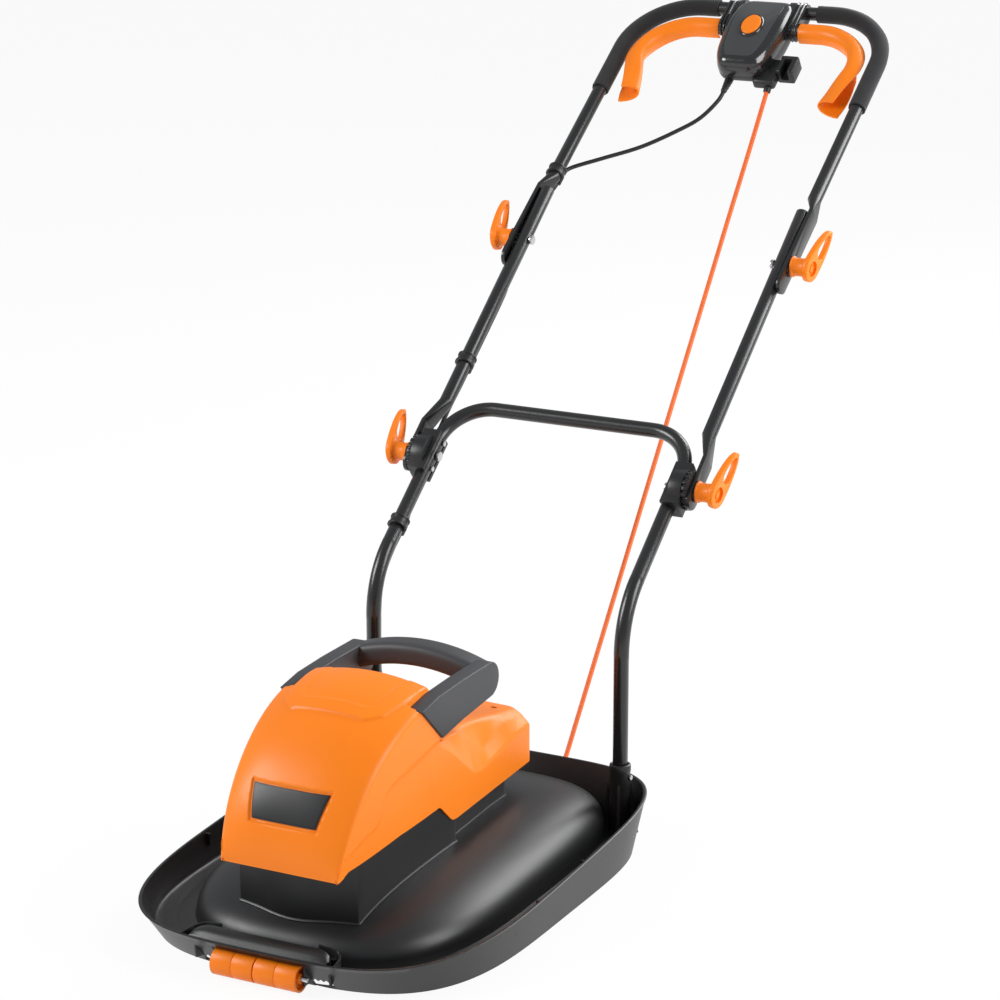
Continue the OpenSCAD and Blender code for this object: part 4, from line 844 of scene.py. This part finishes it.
COVER_EDGE = [
    (-263, 118), (-240, 125), (-140, 133.5), (-46, 136), (-41, 133.5), (-18, 113), (-11, 108.4), (0, 107),
    (208, 112)]
HOUSING_PLAN = rounded([(0, -240), (79, -221), (87.5, -2), (77, 5), (75, 152), (-75, 152), (-77, 5), (-87.5, -2),
                        (-79, -221)], [30, 1.6, 2.5, 2.5, 6, 6, 2.5, 2.5, 1.6], 5, 16)
HOUSING_TOP = 139


def housing():
    """The walls stand on the dome with a thin foot and run up inside the cover."""
    rows = []
    for inset, lift in ((-2.0, -0.6), (-2.0, 1.4), (-1.4, 2.1), (0.0, 2.5), (0.0, 8.0)):
        rows.append([on_deck(p.x, p.y, dome_at(p.x, p.y) + lift) for p in shrunk(HOUSING_PLAN, inset)])
    for inset, drop in ((0.0, 1.6), (0.7, 0.9), (4.6, 0.7)):
        rows.append([on_deck(p.x, p.y, along_line(COVER_EDGE, p.y) - drop) for p in shrunk(HOUSING_PLAN, inset)])
    rows.append([on_deck(p.x, p.y, HOUSING_TOP) for p in shrunk(HOUSING_PLAN, 5.0)])
    piece = skin("housing_moulding", rows, wall=0.0026, ring=True)
    fit(soften(piece, smooth=28.0), "motor_housing")


housing()


# Motor cover: a nose that curves from its front edge up to the crest, and a saddle behind the crest

CREST_Y = -57
NOSE_L = 206
NOSE_LOW = 124
NOSE_H = 169
NOSE_HW = 77
NOSE_SPREAD = 16
NOSE_CROWN = 16
NOSE_BOW = 30
CREST_FLAT = 12
CREST_R = 7
RECESS_LOW = 169.5
RECESS_HIGH = 211.5
RECESS_DEPTH = 2.8
BROW = [(-76, -50), (-72, -100), (-65, -134), (-48, -150), (48, -150), (65, -134), (72, -100), (76, -50)]
BROW_RISE = 2.2
TOP_PANEL = [
    (-55, -50), (-50.5, -66), (-49.5, -114), (-47, -124), (-39, -129), (39, -129), (47, -124), (49.5, -114),
    (50.5, -66), (55, -50)]
CHEEK = bowed([(-263, 139), (-206, 157), (-187, 161), (-175, 191), (-159, 201), (-44, 222)], [10, 5, 5, 8], 5)
CHEEK_DEPTH = 4.0
ARM_IN = 75
ARM_FRONT = -98
ARM_TOP = [(ARM_FRONT, 272.2), (-57, 279), (0, 281.2), (74, 281.4)]
QUARTER = [radians(15 * k) for k in range(1, 7)]


def depth_within(points, x, y):
    """How far inside an outline that opens at the crest a place lies; less than 0 outside it."""
    inside = False
    for (ax, ay), (bx, by) in zip(points, points[1:] + points[:1]):
        if (ay > y) != (by > y) and x < (bx - ax) * (y - ay) / (by - ay) + ax:
            inside = not inside
    return reach(points, x, y) if inside else -reach(points, x, y)


def nose_point(f, angle):
    """The nose's skin: f runs across, the angle from the front edge up to the crest."""
    s, c = sin(angle), cos(angle)
    return Vector((f * (NOSE_HW + NOSE_SPREAD * s), CREST_Y - (NOSE_L - NOSE_BOW * f ** 4 * s) * c,
                   NOSE_LOW + (NOSE_H - NOSE_CROWN * f * f) * s))


def facing(angle):
    """The way the nose's skin faces at an angle."""
    return Vector((0, -cos(angle) * NOSE_H, sin(angle) * NOSE_L)).normalized()


def panel_relief(p):
    """How far the badge's recess, the top panel and the brow below it stand up or sink at a place."""
    beside = 45 + 8 * (p.z - 170) / 41 - abs(p.x)
    rise = -RECESS_DEPTH * between(min(beside, p.z - RECESS_LOW, RECESS_HIGH - p.z), -1.5, 1.5)
    if p.z > 235:
        rise += between(depth_within(BROW, p.x, p.y), -1.4, 1.4) * BROW_RISE
        d = depth_within(TOP_PANEL, p.x, p.y)
        rise -= between(d, -1.1, 1.1)
        rise -= 0.6 * exp(-(d / 1.4) ** 2)
    return rise


def nose_row(angle, drop=0.0, y_shift=0.0):
    """One row of the nose, from edge to edge. The points on the side follow the step below which it sinks."""
    ridge = nose_point(1.0, angle)
    hw = ridge.x
    y = ridge.y + y_shift
    low = min(along_line(COVER_EDGE, min(y, -46)), ridge.z - 4)
    turn = min(7.0, (ridge.z - low) * 0.45)
    edge = 1 - min(7.0, hw * 0.2) / hw
    out = facing(angle)
    half = [p + out * panel_relief(p) for p in (nose_point(edge * k / 61, angle) for k in range(62))]
    start, end = nose_point(edge, angle), Vector((hw, ridge.y, ridge.z - turn))
    half += [rounding(start, ridge, end, k / 8) for k in range(1, 8)]
    step = along_line(CHEEK, y)
    slope = (along_line(CHEEK, y + 1.5) - along_line(CHEEK, y - 1.5)) / 3
    wide = 1.5 * sqrt(1 + slope * slope)
    high = min(step + wide, end.z - 0.5)
    sunk = max(min(step - wide, high - 0.6), low + 0.3)
    high = max(high, sunk + 0.2)
    levels = [end.z + (high - end.z) * k / 9 for k in range(9)] + [high + (sunk - high) * k / 8 for k in range(8)]
    levels += [sunk + (low - sunk) * k / 20 for k in range(21)]
    depth = CHEEK_DEPTH * between(y, -263, -240)
    half += [Vector((hw - depth * (1 - between(z, sunk, high)), ridge.y, z)) for z in levels]
    half = [Vector((p.x, p.y + y_shift, p.z - drop * between(p.z, 200, 250))) for p in half]
    for p in half:
        if p.x > ARM_IN - 0.2 and p.y > ARM_FRONT - 0.4:
            p.z = min(p.z, along_line(ARM_TOP, p.y) - 1.0)
    return both_sides(half)


def nose():
    crest = acos(7.0 / NOSE_L)
    rows = [nose_row(crest * k / 165) for k in range(166)]
    rows.insert(0, [Vector((p.x, p.y, 118)) for p in rows[0]])
    rows += [nose_row(crest, 0, CREST_FLAT * k / 4) for k in range(1, 5)]
    for a in QUARTER:
        rows.append(nose_row(crest, CREST_R * (1 - cos(a)), CREST_FLAT + CREST_R * sin(a)))
    piece = skin("cover_nose", [[on_deck(*p) for p in row] for row in rows], wall=0.003, cap=True)
    return soften(piece, smooth=30.0)


def badge():
    """A bare plate that follows the floor of its recess."""
    rows = []
    for k in range(13):
        z = 173 + 3 * k
        hw = 42 + 8 * k / 12
        row = []
        for j in range(25):
            x = hw * (j - 12) / 12
            s = 0.4
            for _ in range(4):
                f = x / (NOSE_HW + NOSE_SPREAD * s)
                s = (z - NOSE_LOW) / (NOSE_H - NOSE_CROWN * f * f)
            angle = asin(s)
            row.append(on_deck(*(nose_point(f, angle) - facing(angle) * 1.5)))
        rows.append(row)
    piece = skin("badge_moulding", rows, wall=0.0012)
    fit(soften(piece, 0.0003, smooth=30.0), "badge_plate")


SADDLE_HW = 89.2
SADDLE_TOP = 220
SADDLE_FRONT = -66
SADDLE_REAR = 196
SADDLE_R = 12
FACET_LOW = [(-57, 217), (-47, 215), (-12, 194), (46, 148), (70, 146), (190, 162), (208, 160)]
FACET_HIGH = [(-57, 219), (20, 206), (30, 202), (88, 166), (98, 165), (150, 178), (196, 172), (208, 170)]
SCREW_X = 45
SCREW_Y = 176


def saddle_row(y, inset=0.0):
    """One row of the saddle, which narrows and falls to the rear. Its facets turn broader behind the crest."""
    hw = SADDLE_HW - 5.6 * (y - CREST_Y) / (SADDLE_REAR - CREST_Y) - 0.35 * (1 - between(y, -54, -38)) - inset
    top = SADDLE_TOP - 42 * (y - CREST_Y) / (SADDLE_REAR + SADDLE_R - CREST_Y) - inset
    facet = along_line(FACET_LOW, y) - inset
    shelf = min(along_line(FACET_HIGH, y), top - 2.5) - inset * 0.5
    cham = 1.5 + 10.5 * between(y, -52, 4)
    half = bowed([(0, top + 1.5), (hw - 2 * cham, top), (hw - cham, shelf), (hw, min(facet, shelf - 2)),
                  (hw, along_line(COVER_EDGE, y))], [8, 2.6, 3.2], 7)
    return both_sides([Vector((p.x, y, p.y)) for p in half])


def saddle():
    rows = [saddle_row(SADDLE_FRONT + (SADDLE_REAR - SADDLE_FRONT) * k / 110) for k in range(111)]
    for a in QUARTER:
        row = saddle_row(SADDLE_REAR, SADDLE_R * (1 - cos(a)))
        rows.append([Vector((p.x, SADDLE_REAR + SADDLE_R * sin(a), p.z)) for p in row])
    piece = skin("cover_saddle", [[on_deck(*p) for p in row] for row in rows], wall=0.003, cap=True)
    for x in (-SCREW_X, SCREW_X):
        carve(piece, drill(on_deck(x, SCREW_Y, 180), 0.0046, 0.03))
    return soften(piece, smooth=17.0)


fit(joined(nose(), saddle()), "motor_cover")
badge()


# Carry handle

ARM_W = 21.0
ARM_END = (72, 259.5)
GRIP_Y = 71
GRIP_TOP = 279.5
GRIP_BOW = 234.2


def carry_handle():
    """Two flat arms with round ends and a bowed grip between them."""
    outline = [ARM_TOP[0], (-48, 224.5), (5, 232), (72, 237.8)]
    outline += [(ARM_END[0] + 21.5 * sin(a), ARM_END[1] - 21.7 * cos(a)) for a in map(radians, range(12, 169, 12))]
    outline = [Vector(p) for p in outline + ARM_TOP[:0:-1]]
    arms = []
    for side in (1, -1):
        arm = plate("carry_arm", outline, lambda y, z, h: on_deck(side * (ARM_IN + h), y, z), ARM_W)
        arms.append(soften(arm, 0.0016, 3, 28.0, 32.0))
    section = rounded([(-14, -19), (14, -19), (14, 19), (-14, 19)], [11] * 4, 6)
    rows = []
    for a in (radians(-21 + 42 * k / 32) for k in range(33)):
        rows.append([on_deck((GRIP_BOW + p.x) * sin(a), GRIP_Y + p.y,
                             GRIP_TOP - GRIP_BOW + (GRIP_BOW + p.x) * cos(a)) for p in section])
    piece = joined(*arms, soften(capped_skin("carry_grip", rows)))
    piece.name = "carry_handle_moulding"
    fit(piece, "carry_handle")


carry_handle()


# Switch levers, in the upper handle's frame

LEVER_S = 447
CORNER_X = 92
CORNER_R = 72
LEVER_END = Vector((149, 302))
CHANNEL_HW = 13
CHANNEL_H = -3


def lever(node, side):
    """A channel along the bar and round its corner, open behind, that twists and scoops towards its end."""
    line = [Vector((x, LEVER_S)) for x in (61, 76, CORNER_X)]
    line += [Vector(polar(CORNER_R, radians(90 - 96 * k / 24), CORNER_X, LEVER_S - CORNER_R)) for k in range(1, 25)]
    line += [line[-1].lerp(LEVER_END, k / 18) for k in range(1, 19)]
    profile = [(-12.0, -12), (-CHANNEL_HW, -8), (-CHANNEL_HW, CHANNEL_H)]
    profile += [(CHANNEL_HW * sin(a), CHANNEL_H + 14 * cos(a) ** 0.9) for a in map(radians, range(-84, 85, 12))]
    profile += [(CHANNEL_HW, CHANNEL_H - 0.5)]
    rows = []
    for i, p in enumerate(line):
        t = (line[min(i + 1, len(line) - 1)] - line[max(i - 1, 0)]).normalized()
        across = Vector((-t.y, t.x))
        late = between(i, 8, len(line) - 4)
        c, s = cos(radians(88) * late), sin(radians(88) * late)
        row = []
        for w, h in profile:
            deep = (h - CHANNEL_H) * (1 + (0.7 if h > CHANNEL_H else 0.1) * late)
            w, h = w * c - deep * s, CHANNEL_H + w * s + deep * c
            q = p + across * (w + 10 * late) - t * (h * 0.3 * late)
            row.append(on_upper(side * q.x, q.y, h * (1 - 0.12 * late)))
        rows.append(row)
    piece = skin(node + "_moulding", rows, wall=0.0026, flip=side > 0)
    fit(soften(piece, 0.0007), node)


lever("lever_left", 1)
lever("lever_right", -1)


# Switch box, in the upper handle's frame. SHIELD is its outline

SHIELD = rounded([(-28, 349), (28, 349), (41, 377), (47, 440), (43, 497), (-43, 497), (-47, 440), (-41, 377)],
                 [20, 20, 22, 26, 24, 24, 26, 22], 7, 3)
SEAM = 0.15
BUTTON_S = 425
BUTTON_R = 13.9
BUTTON_STRETCH = 5.2
WELL_R = 17.6
WELL_FLOOR = 11.0
NECK_S = 466
NECK_R = 12.6
NECK_REACH = 19
TOP_LEVELS = [
    (0, SEAM), (-0.2, 2), (0, 8), (1.2, 14), (3.4, 19), (6.4, 22.6), (9.6, 24.7), (12.4, 25.6), (13.2, 25.7)]
BASE_LEVELS = [(13, -25.9), (9, -25.2), (5, -22.5), (1.8, -17), (0.3, -9), (0, -SEAM)]
PANEL_LEVELS = [(14.6, 25.2), (14.6, 26.2), (15.2, 26.6), (16, 26.7)]
BUTTON_LEVELS = [(6, 17), (0, 17), (0, 29.4), (0.5, 30.2), (1.6, 30.8), (4, 31), (8, 31)]
COLLAR = [
    (14.3, WELL_FLOOR), (14.3, 28.4), (14.7, 29.2), (15.8, 29.5), (16.9, 28.9), (17.6, 27.4), (17.8, 25),
    (17.8, WELL_FLOOR)]
GLAND_X = -17
GLAND_H = -13
GLAND = [(366, 3), (366, 6), (349, 6), (347, 5.2), (344, 5.6), (341, 4.8), (338, 5.1), (335, 4.3), (332, 4.5),
         (329, 3.9), (328, 3)]


def on_shield(x, s, h):
    """A place on the box, whose faces fall away towards the bar."""
    depth = 0.6 + 0.4 * between(s, 350, BUTTON_S) if h < 0 else 1.0
    return on_upper(x, s, h * depth * (1 - 0.5 * between(s, 436, 506)))


def on_button(radius, angle, h):
    """A place on an oval round the button, longer up and down the box than across."""
    return on_upper(radius * cos(angle), BUTTON_S + (radius + BUTTON_STRETCH) * sin(angle), h)


def shell(name, levels, well=None):
    """A closed lump through rings of the shield outline, with an oval well round the button down to a height where
    one is given. A well as deep as the lump goes right through it."""
    rows = [[on_shield(p.x, p.y, h) for p in shrunk(SHIELD, inset)] for inset, h in levels]
    bottom, top = levels[0][1], levels[-1][1]
    if well is not None:
        for h in (top, well):
            rows.append([on_button(WELL_R, atan2((p.y - BUTTON_S) * 0.62, p.x), h) for p in SHIELD])
        top = well
    if well == bottom:
        return closed_skin(name, rows + [rows[0]])
    first, last = ([on_upper(0, BUTTON_S, h)] * len(SHIELD) for h in (bottom, top))
    return closed_skin(name, [first] + rows + [last])


def neck(side, low, high):
    """A ribbed collar round the bar and the lever shaft, between two heights."""
    outline = []
    for a in circle(40):
        s = sin(a)
        outline.append((NECK_R * cos(a), NECK_S + NECK_R * s + copysign(NECK_REACH, s) * min(1.0, abs(s) * 6)))
    rows = []
    for x in [34 + 26 * k / 52 for k in range(53)]:
        ribs = 1.5 * max(0.0, sin((x - 44) * pi / 2.6)) ** 2 * between(x, 44, 45) * (1 - between(x, 57, 58))
        swell = 1.0 - 0.9 * between(x, 40, 46) + ribs
        rows.append([on_upper(side * x, s + (s - NECK_S) / 32 * swell * 1.6,
                              min(high, max(low, h * (1 + 0.11 * swell)))) for h, s in outline])
    return capped_skin("neck", rows)


def rounded_block(low, high, radius):
    """A block in the upper handle's frame with rounded edges; corners are (x, s, h)."""
    piece = block(Vector(low) * MM, Vector(high) * MM)
    soften(piece, radius, 4, 30.0)
    piece.data.transform(TO_UPPER @ Matrix(((1, 0, 0, 0), (0, 0, -1, 0), (0, 1, 0, 0), (0, 0, 0, 1))))
    return piece


def switch_box():
    top = shell("switch_box_upper", TOP_LEVELS, WELL_FLOOR)
    collar = closed_skin("button_collar", [[on_button(r, a, h) for r, h in COLLAR] for a in circle(64)], loop=True)
    top = joined(top, collar, neck(1, SEAM, 40), neck(-1, SEAM, 40))
    fit(soften(top), "switch_box_top", finish=GLOSS)

    panel = shell("switch_face", PANEL_LEVELS, PANEL_LEVELS[0][1])
    fit(soften(panel, smooth=30.0), "switch_panel", finish=PANEL)

    base = shell("switch_box_lower", BASE_LEVELS)
    cord_block = rounded_block((22, 344, -18), (55, 374, -2.5), 0.0045)
    base = joined(base, neck(1, -40, -SEAM), neck(-1, -40, -SEAM), cord_block)
    fit(soften(base), "switch_box_base")

    hook = rounded_block((53.2, 361, -20), (79, 394, 4), 0.003)
    carve(hook, rounded_block((60, 340, -13), (71.5, 386, 20), 0.002))
    hook = joined(hook, rounded_block((34, 372, -18), (58, 393, -3), 0.004))
    fit(soften(hook), "cord_hook")

    rings = [[on_button(BUTTON_R - inset, a, h) for a in circle(64)] for inset, h in BUTTON_LEVELS]
    fit(soften(capped_skin("button_moulding", rings)), "lock_button")

    rings = [[on_upper(r * cos(a) + GLAND_X, s, r * sin(a) + GLAND_H) for a in circle(32)] for s, r in GLAND]
    fit(soften(closed_skin("lead_gland_moulding", rings), smooth=50.0), "lead_gland")

    start, ahead = Vector(CORD_ROUTE[0]) * MM, Vector(CORD_ROUTE[1]) * MM
    way = (ahead - start).normalized()
    gland = drill(start + way * 0.0095, 0.0052, 0.008, way.to_track_quat("Z", "Y").to_euler())
    gland.name = "cord_gland_moulding"
    fit(soften(gland, 0.001, 3), "cord_gland")


switch_box()


# Wing knobs, from their joint's middle: the stem in millimetres, the loop's place in metres

STEM_X = 207.3
STEM = [(0.0, 0.2), (14.0, 0.2), (14.0, 2.0), (12.6, 3.6), (12.0, 9.0), (12.2, 15.0), (13.6, 19.5), (16.4, 22.4),
        (10.0, 24.0), (0.0, 24.0)]
LOOP_X = 0.2363
LOOP_DEPTH = 8.2


def teardrop(base_r, base_u, tip_u):
    """An outline with a round base and a narrow round tip."""
    line = []
    for a in circle(56):
        c, n = cos(a), sin(a)
        u = base_u - base_r * c if c > 0 else base_u + (tip_u - base_u) * -c
        v = base_r * n if c > 0 else base_r * copysign(abs(n) ** 1.25, n)
        line.append(Vector((v, u)))
    return line


def knob(node, side, turn):
    """A waisted stem and a leaning teardrop loop, with a dished hub."""
    place = turn @ Matrix.Rotation(radians(8), 4, "X")
    lean = place @ Matrix.Translation((side * LOOP_X, 0, 0)) @ Matrix.Rotation(side * radians(8), 4, "Y")
    rings = [[place @ (Vector((side * (STEM_X + x), *polar(r, a))) * MM) for a in circle(48)] for r, x in STEM]
    stem = soften(closed_skin("knob_stem", rings))

    def at(v, u, h):
        return lean @ (Vector((side * (h - LOOP_DEPTH), v, u)) * MM)

    def disc(radius, count):
        return [Vector(polar(radius, a)) for a in circle(count)]

    loop = plate("knob_loop", teardrop(18.8, 0, 62), at, 8.0)
    carve(loop, plate("loop_eye", teardrop(9.6, 26.5, 54.5), lambda v, u, h: at(v, u, h - 6), 20.0))
    soften(loop, 0.0016, 3)
    carve(loop, plate("hub_dish", disc(10.4, 40), lambda v, u, h: at(v, u - 1, h + 4.4), 8.0))
    boss = plate("hub_boss", disc(5.2, 6), lambda v, u, h: at(v, u - 1, h + 3.8), 2.6)
    piece = joined(stem, loop, soften(boss, 0.0005, 2, 30.0, 35.0))
    piece.name = node + "_moulding"
    fit(piece, node)


for level, frame_of_joint in (("lower", TO_MIDDLE), ("upper", TO_UPPER)):
    knob("knob_" + level + "_left", 1, frame_of_joint)
    knob("knob_" + level + "_right", -1, frame_of_joint)


# Solids that keep their own shape

ROUNDER = ("ratchet_block_left", "ratchet_block_right", "roller_left", "roller_right")
for node in nodes:
    if node in ROUNDER:
        dress(node, 0.0012, 3)
    elif node not in dressed:
        dress(node, 0.0006)


# Stage: a white floor and a white world to the camera, and dimmer ones to the part

FLOOR_R = 14
FLOOR_WHITE = 0.92
WORLD_LIGHT = 0.42


def mix_shaders(tree, share, first, second, output):
    """Shows a share of the second shader over the first."""
    mixed = tree.nodes.new("ShaderNodeMixShader")
    for start, end in zip((share, first.outputs[0], second.outputs[0]), mixed.inputs):
        tree.links.new(start, end)
    tree.links.new(mixed.outputs[0], tree.nodes[output].inputs["Surface"])


def rays_of(tree, *kinds):
    """1 for rays of either of two kinds, 0 for others."""
    rays = tree.nodes.new("ShaderNodeLightPath")
    either = tree.nodes.new("ShaderNodeMath")
    either.operation = "MAXIMUM"
    for kind, socket in zip(kinds, either.inputs):
        tree.links.new(rays.outputs[kind], socket)
    return either.outputs[0]


def stage_floor():
    f = Finish("floor")
    seen = Value(f, rays_of(f.tree, "Is Camera Ray", "Is Glossy Ray")) * FLOOR_WHITE
    mix_shaders(f.tree, seen.socket, f.shader, f.tree.nodes.new("ShaderNodeEmission"), "Material Output")
    floor = blank("floor", bpy.ops.mesh.primitive_circle_add, vertices=64, radius=FLOOR_R, fill_type="NGON")
    floor.data.materials.append(f.made(Base_Color=(0.9, 0.9, 0.9), Roughness=0.7))


def world_light():
    scene.world = bpy.data.worlds.new("studio")
    scene.world.use_nodes = True
    tree = scene.world.node_tree
    dim = tree.nodes["Background"]
    dim.inputs["Color"].default_value = (0.95, 0.97, 1.0, 1.0)
    dim.inputs["Strength"].default_value = WORLD_LIGHT
    white = tree.nodes.new("ShaderNodeBackground")
    white.inputs["Color"].default_value = (1.0, 1.0, 1.0, 1.0)
    mix_shaders(tree, rays_of(tree, "Is Camera Ray", "Is Transmission Ray"), dim, white, "World Output")


def soft_lamp(name, place, aim, size, watts):
    data = bpy.data.lights.new(name, "AREA")
    data.shape = "RECTANGLE"
    data.size, data.size_y = size
    data.energy = watts
    lamp = bpy.data.objects.new(name, data)
    scene.collection.objects.link(lamp)
    lamp.location = place
    lamp.rotation_euler = (Vector(aim) - Vector(place)).to_track_quat("-Z", "Y").to_euler()


stage_floor()
world_light()
soft_lamp("key", (-2.7, -2.2, 2.3), (0, -0.3, 0.3), (1.6, 1.6), 98)
soft_lamp("fill", (3.2, 0.2, 1.9), (0, -0.2, 0.3), (1.4, 2.2), 74)
soft_lamp("back", (1.3, 2.8, 2.25), (0.1, -0.3, 0.2), (2.8, 1.8), 112)
scene.view_settings.view_transform = "Standard"

bpy.context.view_layer.update()
